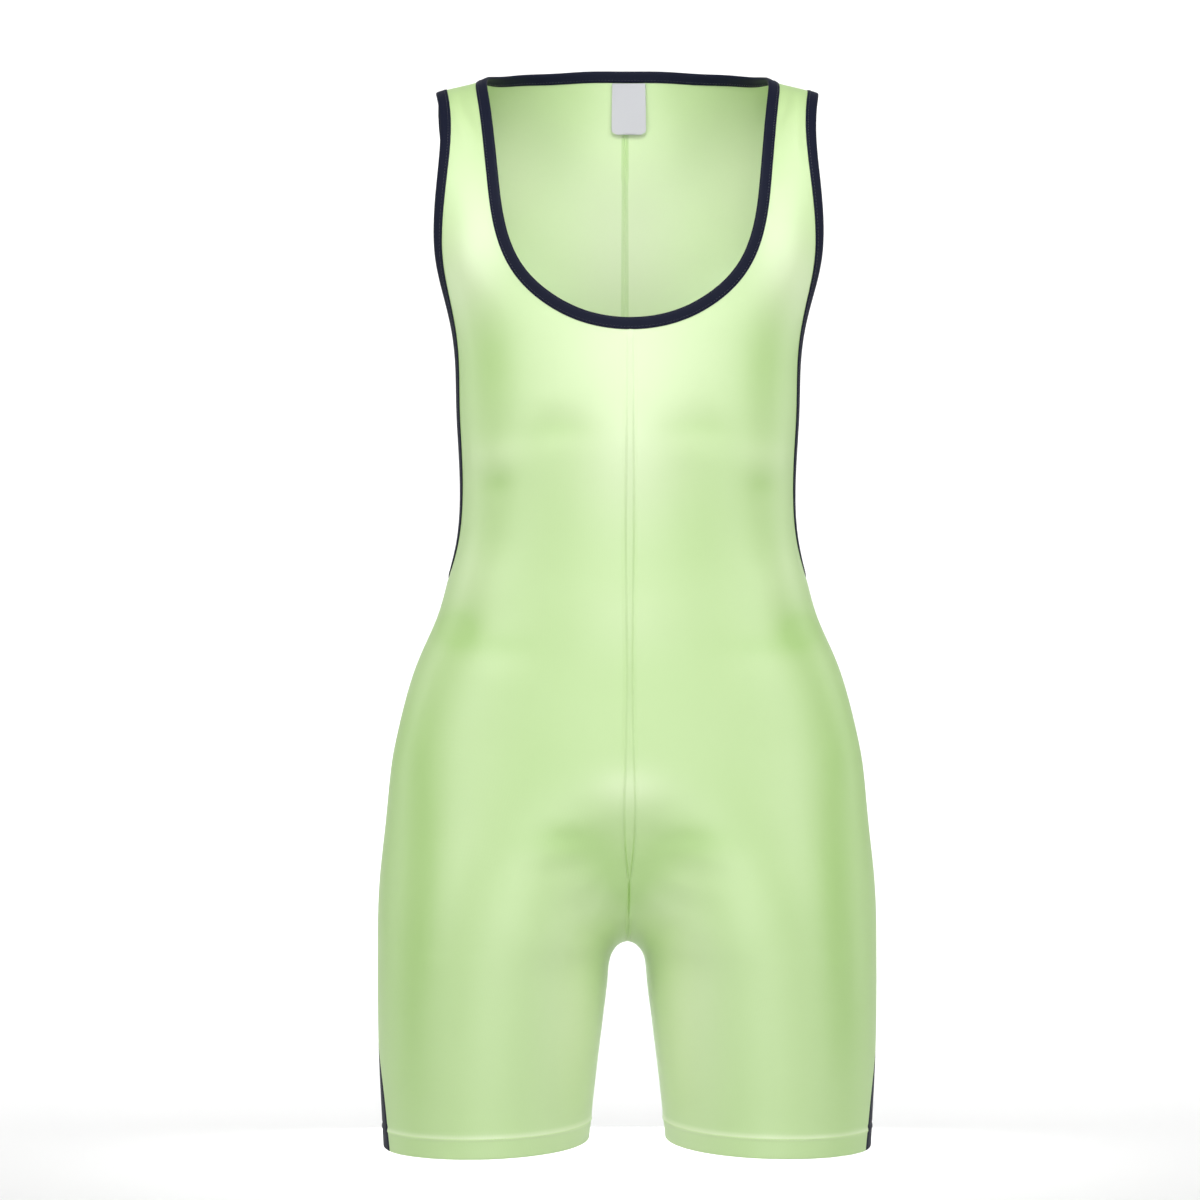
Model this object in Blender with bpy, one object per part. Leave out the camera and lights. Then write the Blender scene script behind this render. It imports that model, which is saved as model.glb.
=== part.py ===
"""Sleeveless sports bodysuit with short legs, filled out as worn, hollow and open.

Front is -Y, up is +Z, and +X is the wearer's left. Sizes are in millimetres until make_solid.
The origin lies between the shoulders, level with the ridge that the straps hang over.
"""

import math

import bpy
import numpy as np

MM = 0.001

# Cloth, tape and seams
CLOTH_THICK = 1.2
TAPE_WIDE = 9.0
TAPE_THICK = 2.4
TAPE_ROUND = 1.0
TAPE_FOLD_SHARE = 0.45
SEAM_GAP = 0.3
TAPE_GAP = 0.4
HEM_THICK = 2.0
HEM_ROWS = np.array([16.0, 15.0, 7.5, 0.0])

# Heights of the garment's landmarks, from the shoulder ridge
CHEST_Z = -200.0
HIP_Z = -488.0
SEAT_Z = -620.0
CROTCH_Z = -648.0
INNER_HEM_Z = -796.5
OUTER_HEM_Z = -802.0
ARMHOLE_FOOT_Z = -364.0
INSERT_TOP_Z = -717.0

# The shoulder ridge and how round the body is
RIDGE_Y = 8.0
SHOULDER_SEAM_Y = 22.0
SIDE_SEAM_Y = 3.0
BODY_POWER = 2.2
FRONT_ARCH_POWER = 2.0
BACK_ARCH_POWER = 2.3
FIELD_SCALE = 100.0

# Body sections, top to bottom: half width, depth of the front and of the back
TORSO_COLUMNS = ("height", "half_width", "front", "back")
TORSO = (
    (60, 205, 112, 103),
    (0, 198, 112, 103),
    (-60, 186, 112, 103),
    (-105, 174, 112, 103),
    (-135, 162, 112, 103),
    (-165, 145.5, 112, 103),
    (-200, 134.5, 112, 103),
    (-250, 131, 110, 101),
    (-300, 127.5, 104, 95),
    (-345, 129, 98, 89.5),
    (-375, 135.5, 95, 86.5),
    (-405, 145, 94, 87),
    (-435, 158, 94.5, 91),
    (-470, 169, 96, 97.5),
    (-510, 177.5, 98, 105),
    (-550, 182, 99, 110),
    (-600, 187.5, 98, 111),
)

# Leg sections: inner and outer reach from the middle, centre in Y, depths from that centre, and the
# width over which the cloth spans from one thigh to the other
LEG_COLUMNS = ("height", "inner", "outer", "middle", "front", "back", "web")
LEG = (
    (-520, -55, 180, 8, 106, 100, 40),
    (-560, -30, 183.5, 8, 105, 103, 52),
    (-600, -9, 187.6, 7, 103, 104, 74),
    (-625, 1, 188.8, 6, 101.5, 104, 66),
    (-640, 7, 189, 5, 99.6, 103.5, 50),
    (-648, 10, 189, 5, 99, 102, 40),
    (-653, 12.3, 189, 4.8, 98.5, 101, 40),
    (-660, 14.4, 189, 4.6, 97.8, 99.9, 40),
    (-675, 15.8, 189, 4, 96, 97.5, 40),
    (-700, 18.2, 188.8, 3.5, 93.3, 93.5, 40),
    (-735, 22.5, 188, 3, 89.5, 89.5, 40),
    (-770, 26.6, 186.3, 2, 85, 86.5, 40),
    (-805, 30.1, 184.5, 2, 82, 84, 40),
)

# Height of the shoulder ridge, outwards from the neck
RIDGE_COLUMNS = ("across", "height")
RIDGE = (
    (0, 112),
    (25, 104),
    (50, 72),
    (80, 35.5),
    (94, 18),
    (103, 9.6),
    (112, 5),
    (134, -0.6),
    (150, -5.8),
    (205, -24),
)

# Edge of the neck opening, front middle to back middle
EDGE_COLUMNS = ("x", "y", "z")
NECK_EDGE = (
    (0, -111, -183.5),
    (30, -109, -179),
    (57, -105, -165.5),
    (79, -98, -143.5),
    (91, -90, -113),
    (96.5, -82, -80),
    (99.5, -66, -47),
    (102, -34, -14),
    (102.5, 8, 8),
    (98.5, 22, 11.5),
    (84, 46, 17.5),
    (58, 66, 22),
    (28, 77, 25),
    (0, 80, 25.6),
)
NECK_SEAM_ROW = 9

# Edge of the armhole, from the shoulder seam down the front, round its foot and up the back
ARMHOLE_EDGE = (
    (144, 22, -8),
    (144.5, 8, -6.5),
    (143, -25, -16),
    (141.5, -50, -45),
    (142.5, -58, -85),
    (144, -58, -115),
    (141.5, -52, -140),
    (134, -41, -168),
    (127, -33, -195),
    (124.5, -29, -235),
    (125, -26, -275),
    (125, -20, -310),
    (127, -15, -336),
    (129.5, -11, -351),
    (131.5, -4.5, -361),
    (132, SIDE_SEAM_Y, ARMHOLE_FOOT_Z),
    (131.5, 10, -361),
    (129.5, 15.5, -351),
    (127.5, 19, -334),
    (126, 20, -305),
    (129, 19, -270),
    (130, 23, -238),
    (130, 37, -205),
    (134, 54, -170),
    (137, 66, -130),
    (141, 66, -85),
    (143.5, 52, -42),
    (144, 33, -17),
)
ARMHOLE_FRONT_TURN_ROW = 9
ARMHOLE_FOOT_ROW = 15
ARMHOLE_BACK_TURN_ROW = 24

# Seams of the dark insert at the outside of each leg, apex to hem
INSERT_COLUMNS = ("height", "half_width")
INSERT = (
    (-717, 0.5),
    (-735, 13),
    (-757, 23.5),
    (-785, 30),
    (-805, 33.5),
)

# Rows of each stretch of a panel: along the neck, to the waist, to the crotch, to the hem's fold
FRONT_NECK_ROWS = 17
BACK_NECK_ROWS = 8
FRONT_CHEST_ROWS = 9
BACK_CHEST_ROWS = 14
CROTCH_ROWS = 13
INSEAM_ROWS = 9
SEAT_TO_INSERT_ROWS = 4
PANEL_COLUMNS = 10
INSERT_COLUMNS_ACROSS = 6
WAIST_Z = -400.0
SEAT_SIDE_Z = -650.0

# Where the search for a point on the figure starts
GUESS_DEEP = 95.0
GUESS_WIDE = 180.0
FOOT_CROWDING = 0.68
CROTCH_CROWDING = 0.55
CROTCH_REACH = 70.0

# Care label inside the back neck, hanging from the tape
LABEL_WIDE = 28.0
LABEL_LONG = 39.0
LABEL_THICK = 1.0
LABEL_OFF_CENTRE = 3.0
LABEL_CLEAR = 1.9

COLOURS = {
    "lime_jersey": (0.60, 0.79, 0.39, 1.0),
    "navy_tape": (0.021, 0.023, 0.055, 1.0),
    "white_satin": (0.80, 0.80, 0.82, 1.0),
}
ROUGHNESS = {"lime_jersey": 0.45, "navy_tape": 0.6, "white_satin": 0.5}


class Curve:
    """Natural cubic spline through values at rising knots."""

    def __init__(self, knots, values):
        self.knots = np.asarray(knots, float)
        self.values = np.asarray(values, float)
        count = len(self.knots)
        step = np.diff(self.knots)
        slope = np.diff(self.values, axis=0) / step.reshape((-1,) + (1,) * (self.values.ndim - 1))
        matrix = np.eye(count)
        bend = np.zeros_like(self.values)
        for row in range(1, count - 1):
            matrix[row, row - 1 : row + 2] = step[row - 1], 2 * (step[row - 1] + step[row]), step[row]
            bend[row] = 6 * (slope[row] - slope[row - 1])
        self.bend = np.linalg.solve(matrix, bend)

    def __call__(self, at):
        at = np.clip(at, self.knots[0], self.knots[-1])
        row = np.clip(np.searchsorted(self.knots, at) - 1, 0, len(self.knots) - 2)
        step = self.knots[row + 1] - self.knots[row]
        late = (at - self.knots[row]) / step
        early = 1 - late
        if self.values.ndim > 1:
            step, late, early = step[..., None], late[..., None], early[..., None]
        straight = early * self.values[row] + late * self.values[row + 1]
        curl = (early**3 - early) * self.bend[row] + (late**3 - late) * self.bend[row + 1]
        return straight + curl * step**2 / 6


def columns_of(table, names):
    """A table read as one curve for each column after the first, rising in the first column."""
    rows = np.array(sorted(table), float)
    return {name: Curve(rows[:, 0], rows[:, i]) for i, name in enumerate(names) if i}


torso = columns_of(TORSO, TORSO_COLUMNS)
leg = columns_of(LEG, LEG_COLUMNS)
ridge = columns_of(RIDGE, RIDGE_COLUMNS)
insert = columns_of(INSERT, INSERT_COLUMNS)


def ease(amount):
    amount = np.clip(amount, 0, 1)
    return amount * amount * (3 - 2 * amount)


def shoulder_field(x, y, z):
    """Above the chest: each upright slice from front to back is an arch under the ridge."""
    across = np.clip(np.abs(x) / torso["half_width"](z), 0, 0.985)
    fullness = (1 - across**BODY_POWER) ** (1 / BODY_POWER)
    middle = RIDGE_Y * ease((z - CHEST_Z) / -CHEST_Z)
    ahead = y < middle
    depth = np.where(
        ahead,
        torso["front"](z) * fullness + middle,
        torso["back"](z) * fullness - middle,
    )
    power = np.where(ahead, FRONT_ARCH_POWER, BACK_ARCH_POWER)
    rise = np.clip((z - CHEST_Z) / (ridge["height"](np.abs(x)) - CHEST_Z), 0, None)
    reach = ((np.abs(y - middle) / depth) ** power + rise**power) ** (1 / power)
    return (reach - 1) * FIELD_SCALE


def trunk_field(x, y, z):
    """Chest to hip: a rounded oval, deeper or shallower at the back than at the front."""
    depth = np.where(y < 0, torso["front"](z), torso["back"](z))
    across = np.abs(x) / torso["half_width"](z)
    reach = (across**BODY_POWER + (np.abs(y) / depth) ** BODY_POWER) ** (1 / BODY_POWER)
    return (reach - 1) * FIELD_SCALE


def leg_field(x, y, z):
    """Two legs, with the cloth spanning between them where they meet."""
    centre = (leg["outer"](z) + leg["inner"](z)) / 2
    radius = (leg["outer"](z) - leg["inner"](z)) / 2
    aside = y - leg["middle"](z)
    deep = aside / np.where(aside < 0, leg["front"](z), leg["back"](z))
    left = (np.hypot((x - centre) / radius, deep) - 1) * radius
    right = (np.hypot((x + centre) / radius, deep) - 1) * radius
    web = leg["web"](z)
    shared = np.clip(web - np.abs(left - right), 0, None) / web
    return np.minimum(left, right) - shared**2 * web / 4


def body_field(points):
    """Negative inside the general figure that fills the garment, nought on its surface."""
    x, y, z = points[..., 0], points[..., 1], points[..., 2]
    high = ease((z - SEAT_Z) / (HIP_Z - SEAT_Z))
    low = high * trunk_field(x, y, z) + (1 - high) * leg_field(x, y, z)
    return np.where(z > CHEST_Z, shoulder_field(x, y, z), low)


def slope_of(points, step=0.05):
    parts = []
    for axis in range(3):
        shift = np.zeros(3)
        shift[axis] = step
        parts.append((body_field(points + shift) - body_field(points - shift)) / (2 * step))
    return np.stack(parts, axis=-1)


def onto_body(points, level=False, steps=12):
    """Points moved straight out or in until they lie on the figure, at their own height if level."""
    points = np.array(points, float)
    for _ in range(steps):
        slope = slope_of(points)
        if level:
            slope[..., 2] = 0
        points -= slope * (body_field(points) / (slope**2).sum(-1))[..., None]
    return points


def outward(points):
    slope = slope_of(points)
    return slope / np.linalg.norm(slope, axis=-1, keepdims=True)


class Rim:
    """Stations round an opening's edge, each with the way out of the cloth and the way off the opening.

    The edge is a smooth closed curve through the controls. Each stop is a control's row, the number of
    stations up to it from the stop before, and how they crowd to its start (above 1) or its end (below 1).
    """

    def __init__(self, controls, first, stops):
        controls = onto_body(controls)
        total = len(controls)
        wrapped = np.concatenate([controls, controls, controls, controls[:1]])
        knots = np.concatenate([[0], np.cumsum(np.linalg.norm(np.diff(wrapped, axis=0), axis=1))])
        curve = Curve(knots, wrapped)
        places = [knots[total + first : total + first + 1]]
        for row, steps, crowding in stops:
            places.append(places[-1][-1] + (knots[total + row] - places[-1][-1]) * crowded(steps, crowding)[1:])
        at = np.concatenate(places)
        self.edge = onto_body(curve(at))
        self.out = outward(self.edge)
        along = curve(at + 1) - curve(at - 1)
        self.off = np.cross(along, self.out)
        self.off /= np.linalg.norm(self.off, axis=1, keepdims=True)

    def beside(self, distance):
        """The line that runs beside the edge, this far into the cloth."""
        return onto_body(self.edge + self.off * distance)

    def cut(self, first, last):
        """A panel's edge between two stations, clear of the tape."""
        return self.beside(TAPE_WIDE + TAPE_GAP)[first : last + 1]


def crowded(steps, crowding):
    """steps + 1 shares from 0 to 1: even, or crowded to the start (above 1) or to the end (below 1)."""
    share = np.linspace(0, 1, steps + 1)
    return share**crowding if crowding >= 1 else 1 - (1 - share) ** (1 / crowding)


def spaced(points, steps, crowding=1.0):
    """steps + 1 points along a line."""
    length = np.concatenate([[0], np.cumsum(np.linalg.norm(np.diff(points, axis=0), axis=1))])
    at = length[-1] * crowded(steps, crowding)
    return np.stack([np.interp(at, length, points[:, axis]) for axis in range(3)], axis=1)


def clear_of_seam(line):
    """The line with its first point moved half a seam's gap along it."""
    line = line.copy()
    step = line[1] - line[0]
    line[0] += step * (SEAM_GAP / 2 / np.linalg.norm(step))
    return line


def neck_rim():
    """Round the neck from the front middle: this side, then the other side mirrored."""
    near = np.array(NECK_EDGE, float)
    loop = np.concatenate([near, near[-2:0:-1] * (-1, 1, 1)])
    front, back, total = FRONT_NECK_ROWS, BACK_NECK_ROWS, len(NECK_EDGE) - 1
    stops = (
        (NECK_SEAM_ROW, front, 1.0),
        (total, back, 1.0),
        (2 * total - NECK_SEAM_ROW, back, 1.0),
        (2 * total, front, 1.0),
    )
    return Rim(loop, 0, stops)


def armhole_rim():
    """Round an armhole from the shoulder seam, down the front and up the back."""
    stops = (
        (ARMHOLE_FRONT_TURN_ROW, FRONT_NECK_ROWS, 1.0),
        (ARMHOLE_FOOT_ROW, FRONT_CHEST_ROWS, FOOT_CROWDING),
        (ARMHOLE_BACK_TURN_ROW, BACK_CHEST_ROWS, 1 / FOOT_CROWDING),
        (len(ARMHOLE_EDGE), BACK_NECK_ROWS, 1.0),
    )
    return Rim(np.array(ARMHOLE_EDGE, float), 0, stops)


def middle_line(side, top_z, foot_z, count=60):
    """The centre front (side -1) or centre back (side 1), half a seam's gap from the middle."""
    heights = np.linspace(top_z, foot_z, count)
    depths = np.full(count, side * GUESS_DEEP)
    return beside_middle(onto_body(np.stack([np.zeros(count), depths, heights], axis=1), level=True))


def middle_turn(side, top_z, count=80):
    """The middle line's lower end, which turns under to the crotch."""
    turn = np.linspace(0, math.pi / 2, count)
    heights = top_z + (CROTCH_Z - top_z) * np.sin(turn)
    depths = leg["middle"](CROTCH_Z) + side * GUESS_DEEP * np.cos(turn)
    line = beside_middle(onto_body(np.stack([np.zeros(count), depths, heights], axis=1)))
    line[0] = middle_line(side, top_z, top_z, 1)[0]
    line[-1] = crotch_point(side)
    return line


def beside_middle(line):
    line[:, 0] = SEAM_GAP / 2
    return line


def crotch_point(side):
    return np.array([SEAM_GAP / 2, leg["middle"](CROTCH_Z) + side * SEAM_GAP / 2, CROTCH_Z])


def inseam(side):
    """The inside leg seam, from the crotch to the hem."""
    reach = INNER_HEM_Z + HEM_ROWS[0] - CROTCH_Z
    heights = np.concatenate([CROTCH_Z + reach * crowded(INSEAM_ROWS, 1.7), INNER_HEM_Z + HEM_ROWS[1:]])
    line = np.stack([leg["inner"](heights), leg["middle"](heights), heights], axis=1)
    for _ in range(12):
        slope = np.minimum(slope_of(line)[:, 0], -0.02)
        line[:, 0] = np.clip(line[:, 0] - body_field(line) / slope, 0, 40)
    line[:, 1] += side * SEAM_GAP / 2
    line[0] = crotch_point(side)
    return line


def side_heights(top_z):
    """Heights of the rows down the side: to the seat, to the insert's apex, to the hem."""
    thigh_rows = INSEAM_ROWS - SEAT_TO_INSERT_ROWS
    return np.concatenate([
        np.linspace(top_z, SEAT_SIDE_Z, CROTCH_ROWS + 1),
        np.linspace(SEAT_SIDE_Z, INSERT_TOP_Z, SEAT_TO_INSERT_ROWS + 1)[1:],
        np.linspace(INSERT_TOP_Z, OUTER_HEM_Z + HEM_ROWS[0], thigh_rows + 1)[1:],
        OUTER_HEM_Z + HEM_ROWS[1:],
    ])


def side_line(side, heights):
    """The side seam, which parts at the insert's apex into its front (-1) and back (1) seams."""
    spread = np.where(heights < INSERT_TOP_Z + SEAM_GAP, insert["half_width"](heights), 0)
    depths = SIDE_SEAM_Y + side * (spread + SEAM_GAP / 2)
    return onto_body(np.stack([np.full(len(heights), GUESS_WIDE), depths, heights], axis=1), level=True)


def panel_edges(side):
    """Matching points down a panel's inner and outer edges."""
    neck, armhole = neck_rim(), armhole_rim()
    shoulder, back_middle = FRONT_NECK_ROWS, FRONT_NECK_ROWS + BACK_NECK_ROWS
    foot = FRONT_NECK_ROWS + FRONT_CHEST_ROWS
    if side < 0:
        chest_rows = FRONT_CHEST_ROWS
        neckline = neck.cut(0, shoulder)[::-1]
        scye = armhole.cut(0, foot)
    else:
        chest_rows = BACK_CHEST_ROWS
        neckline = neck.cut(shoulder, back_middle)
        scye = armhole.cut(foot, len(armhole.edge) - 1)[::-1]
    neckline[-1, 0] = SEAM_GAP / 2
    inner = [
        clear_of_seam(neckline),
        spaced(middle_line(side, neckline[-1, 2], WAIST_Z), chest_rows),
        spaced(middle_turn(side, WAIST_Z), CROTCH_ROWS, crowding=0.75),
        inseam(side),
    ]
    outer = [clear_of_seam(scye), side_line(side, side_heights(scye[-1, 2]))]
    return joined(inner), joined(outer)


def wall_thickness(rows):
    """The cloth's thickness at each row: two layers where the hem is turned up."""
    thick = np.full(rows, CLOTH_THICK)
    thick[1 - len(HEM_ROWS) :] = HEM_THICK
    return thick


def joined(stretches):
    return np.concatenate([part[:-1] for part in stretches[:-1]] + [stretches[-1]])


def axis_x(z):
    """The line that a panel's rows turn about: the body's middle above, the leg's middle below."""
    centre = (leg["outer"](z) + leg["inner"](z)) / 2
    return centre * ease((-540 - z) / (-540 - CROTCH_Z))


def across_body(inner, outer, columns):
    """Rows of points on the figure, turning from each inner edge point to its outer one."""
    rows = []
    for start, end in zip(inner, outer):
        crowd = 1 + CROTCH_CROWDING * math.exp(-(((start[2] - CROTCH_Z) / CROTCH_REACH) ** 2))
        share = np.linspace(0, 1, columns + 1) ** crowd
        level = (1 - share) * start[2] + share * end[2]
        polar = []
        for point in (start, end):
            away = point[0] - axis_x(point[2])
            ahead = leg["middle"](point[2]) - point[1]
            polar.append((math.atan2(ahead, away), math.hypot(ahead, away)))
        angle = (1 - share) * polar[0][0] + share * polar[1][0]
        radius = (1 - share) * polar[0][1] + share * polar[1][1]
        x = axis_x(level) + radius * np.cos(angle)
        y = leg["middle"](level) - radius * np.sin(angle)
        row = onto_body(np.stack([x, y, level], axis=1), level=bool(end[2] < ARMHOLE_FOOT_Z))
        row[0], row[-1] = start, end
        rows.append(row)
    return np.array(rows)


def wall_between(outside, inside):
    """Vertices and faces of a closed wall from two matching grids."""
    rows, columns = outside.shape[:2]
    count = rows * columns
    vertices = np.concatenate([outside.reshape(-1, 3), inside.reshape(-1, 3)])
    index = np.arange(count).reshape(rows, columns)
    faces = []
    for i in range(rows - 1):
        for j in range(columns - 1):
            quad = (index[i, j], index[i + 1, j], index[i + 1, j + 1], index[i, j + 1])
            faces.append(quad)
            faces.append(tuple(k + count for k in reversed(quad)))
    border = [
        *index[0, :-1],
        *index[:-1, -1],
        *index[-1, :0:-1],
        *index[:0:-1, 0],
    ]
    for here, there in zip(border, border[1:] + border[:1]):
        faces.append((here, there, there + count, here + count))
    return vertices, faces


def tube_between(rings):
    """Vertices and faces of a closed ring of cross-sections."""
    steps, around = rings.shape[:2]
    index = np.arange(steps * around).reshape(steps, around)
    faces = []
    for i in range(steps):
        for j in range(around):
            ahead, beside = (i + 1) % steps, (j + 1) % around
            faces.append((index[i, j], index[ahead, j], index[ahead, beside], index[i, beside]))
    return rings.reshape(-1, 3), faces


def material(piece, finish):
    made = bpy.data.materials.new(f"{piece}_{finish}")
    made.use_nodes = True
    made.diffuse_color = COLOURS[finish]
    shader = made.node_tree.nodes["Principled BSDF"]
    shader.inputs["Base Color"].default_value = COLOURS[finish]
    shader.inputs["Roughness"].default_value = ROUGHNESS[finish]
    shader.inputs["Metallic"].default_value = 0.0
    return made


def make_solid(name, vertices, faces, finish):
    mesh = bpy.data.meshes.new(name)
    mesh.from_pydata([tuple(v) for v in np.asarray(vertices) * MM], [], [tuple(map(int, f)) for f in faces])
    mesh.materials.append(material(name, finish))
    mesh.validate()
    if signed_volume(mesh) < 0:
        mesh.flip_normals()
    mesh.shade_smooth()
    mesh.set_sharp_from_angle(angle=math.radians(40))
    made = bpy.data.objects.new(name, mesh)
    bpy.context.scene.collection.objects.link(made)
    return made


def signed_volume(mesh):
    total = 0.0
    for face in mesh.polygons:
        corners = [mesh.vertices[i].co for i in face.vertices]
        for second, third in zip(corners[1:], corners[2:]):
            total += corners[0].dot(second.cross(third))
    return total / 6


def mirrored(points):
    return np.asarray(points) * (-1, 1, 1)


def cloth_wall(grid, thick):
    """A panel's two faces: half the cloth outside the figure's surface, the rest inside it."""
    away = outward(grid)
    outside = grid + away * CLOTH_THICK / 2
    inside = outside - away * np.asarray(thick)[:, None, None]
    return outside, inside


def make_panels():
    for side, where in ((-1, "front"), (1, "back")):
        inner, outer = panel_edges(side)
        outside, inside = cloth_wall(across_body(inner, outer, PANEL_COLUMNS), wall_thickness(len(inner)))
        make_solid(f"{where}_left", *wall_between(outside, inside), "lime_jersey")
        make_solid(f"{where}_right", *wall_between(mirrored(outside), mirrored(inside)), "lime_jersey")


def make_inserts():
    """The navy gore let into each leg's side seam above the hem."""
    heights = side_heights(ARMHOLE_FOOT_Z)
    heights = heights[heights < INSERT_TOP_Z + SEAM_GAP]
    share = np.linspace(-1, 1, INSERT_COLUMNS_ACROSS + 1)
    half = insert["half_width"](heights) - SEAM_GAP / 2
    depths = SIDE_SEAM_Y + half[:, None] * share
    levels = np.repeat(heights[:, None], len(share), axis=1)
    grid = onto_body(np.stack([np.full(depths.shape, GUESS_WIDE), depths, levels], axis=-1), level=True)
    outside, inside = cloth_wall(grid, wall_thickness(len(heights)))
    make_solid("side_insert_left", *wall_between(outside, inside), "navy_tape")
    make_solid("side_insert_right", *wall_between(mirrored(outside), mirrored(inside)), "navy_tape")


def tape_rings(rim):
    """Folded tape along an edge: a flat strip with a rounded fold at the opening."""
    edge, near, far = rim.edge[:-1], rim.beside(TAPE_ROUND)[:-1], rim.beside(TAPE_WIDE)[:-1]
    half = TAPE_THICK / 2
    fold = rim.out[:-1] * half * TAPE_FOLD_SHARE
    near_out, far_out = outward(near) * half, outward(far) * half
    profile = [edge + fold, near + near_out, far + far_out, far - far_out, near - near_out, edge - fold]
    return np.stack(profile, axis=1)


def make_tapes():
    make_solid("neck_tape", *tube_between(tape_rings(neck_rim())), "navy_tape")
    rings = tape_rings(armhole_rim())
    make_solid("armhole_tape_left", *tube_between(rings), "navy_tape")
    make_solid("armhole_tape_right", *tube_between(mirrored(rings)), "navy_tape")


def make_label():
    """A small woven care label that hangs inside the back neck, just under the tape."""
    back_middle = FRONT_NECK_ROWS + BACK_NECK_ROWS
    top = neck_rim().cut(back_middle, back_middle)[0, 2] - SEAM_GAP
    heights = top - np.linspace(0, LABEL_LONG, 6)
    across = LABEL_OFF_CENTRE + np.linspace(-0.5, 0.5, 5) * LABEL_WIDE
    x, z = np.meshgrid(across, heights)
    grid = onto_body(np.stack([x, np.full(x.shape, GUESS_DEEP), z], axis=-1), level=True)
    away = outward(grid)
    hang = LABEL_CLEAR + 1.5 * np.linspace(0, 1, 6)[:, None, None] ** 2
    face = grid - away * hang
    make_solid("care_label", *wall_between(face, face - away * LABEL_THICK), "white_satin")


def main():
    for old in list(bpy.data.objects):
        bpy.data.objects.remove(old)
    make_panels()
    make_inserts()
    make_tapes()
    make_label()


main()
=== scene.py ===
import math

import bpy
import numpy as np
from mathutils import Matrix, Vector


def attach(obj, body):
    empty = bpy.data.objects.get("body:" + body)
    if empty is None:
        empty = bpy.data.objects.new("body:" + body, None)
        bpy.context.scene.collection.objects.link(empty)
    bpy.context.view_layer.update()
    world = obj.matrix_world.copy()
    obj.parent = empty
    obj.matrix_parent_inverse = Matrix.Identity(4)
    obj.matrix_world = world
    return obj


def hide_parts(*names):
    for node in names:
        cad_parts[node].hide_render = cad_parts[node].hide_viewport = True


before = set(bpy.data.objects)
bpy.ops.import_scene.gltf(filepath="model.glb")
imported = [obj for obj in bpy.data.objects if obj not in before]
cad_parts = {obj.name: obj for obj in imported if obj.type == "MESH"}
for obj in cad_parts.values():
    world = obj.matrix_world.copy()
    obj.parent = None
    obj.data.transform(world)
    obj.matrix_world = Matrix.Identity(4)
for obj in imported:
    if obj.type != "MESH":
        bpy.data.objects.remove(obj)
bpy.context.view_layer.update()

# A sleeveless sports bodysuit of pale lime stretch jersey with navy folded binding, filled out and hollow

# The front is -Y, +X is the wearer's left, and sizes are in millimetres until make_piece
MM = 0.001

# Cloth, binding and thread
CLOTH_THICK = 1.2
HEM_THICK = 2.0
HEM_DEEP = 15.0
BINDING_WIDE = 9.0
BINDING_LAP = 2.5
SEAM_HALF_GAP = 0.02

# Heights of the garment's landmarks, from the shoulder ridge
CHEST_Z = -200.0
HIP_Z = -488.0
SEAT_Z = -620.0
CROTCH_Z = -648.0
INNER_HEM_Z = -796.5
OUTER_HEM_Z = -802.0
ARMHOLE_FOOT_Z = -364.0
INSERT_TOP_Z = -717.0

# The shoulder ridge and how round the body is
RIDGE_Y = 8.0
SHOULDER_SEAM_Y = 22.0
SIDE_SEAM_Y = 3.0
BODY_POWER = 2.2
FRONT_ARCH_POWER = 2.0
BACK_ARCH_POWER = 2.3

# The figure's field: how far across it the arches are read, its scale, and the steps that settle a point
WIDEST_ACROSS = 0.985
FIELD_SCALE = 100.0
SETTLE_STEPS = 12

# Body sections, top to bottom: half width, depth of the front and of the back
TORSO_COLUMNS = ("height", "half_width", "front", "back")
TORSO = (
    (60, 205, 112, 103),
    (0, 198, 112, 103),
    (-60, 186, 112, 103),
    (-105, 174, 112, 103),
    (-135, 162, 112, 103),
    (-165, 145.5, 112, 103),
    (-200, 134.5, 112, 103),
    (-250, 131, 110, 101),
    (-300, 127.5, 104, 95),
    (-345, 129, 98, 89.5),
    (-375, 135.5, 95, 86.5),
    (-405, 145, 94, 87),
    (-435, 158, 94.5, 91),
    (-470, 169, 96, 97.5),
    (-510, 177.5, 98, 105),
    (-550, 182, 99, 110),
    (-600, 187.5, 98, 111),
)

# Leg sections: inner and outer reach, centre in Y, depths from it, and the cloth's span between the thighs
LEG_COLUMNS = ("height", "inner", "outer", "middle", "front", "back", "web")
LEG = (
    (-520, -55, 180, 8, 106, 100, 40),
    (-560, -30, 183.5, 8, 105, 103, 52),
    (-600, -9, 187.6, 7, 103, 104, 74),
    (-625, 1, 188.8, 6, 101.5, 104, 66),
    (-640, 7, 189, 5, 99.6, 103.5, 50),
    (-648, 10, 189, 5, 99, 102, 40),
    (-653, 12.3, 189, 4.8, 98.5, 101, 40),
    (-660, 14.4, 189, 4.6, 97.8, 99.9, 40),
    (-675, 15.8, 189, 4, 96, 97.5, 40),
    (-700, 18.2, 188.8, 3.5, 93.3, 93.5, 40),
    (-735, 22.5, 188, 3, 89.5, 89.5, 40),
    (-770, 26.6, 186.3, 2, 85, 86.5, 40),
    (-805, 30.1, 184.5, 2, 82, 84, 40),
)

# Height of the shoulder ridge, outwards from the neck
RIDGE_COLUMNS = ("across", "height")
RIDGE = (
    (0, 112),
    (25, 104),
    (50, 72),
    (80, 35.5),
    (94, 18),
    (103, 9.6),
    (112, 5),
    (134, -0.6),
    (150, -5.8),
    (205, -24),
)

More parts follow.
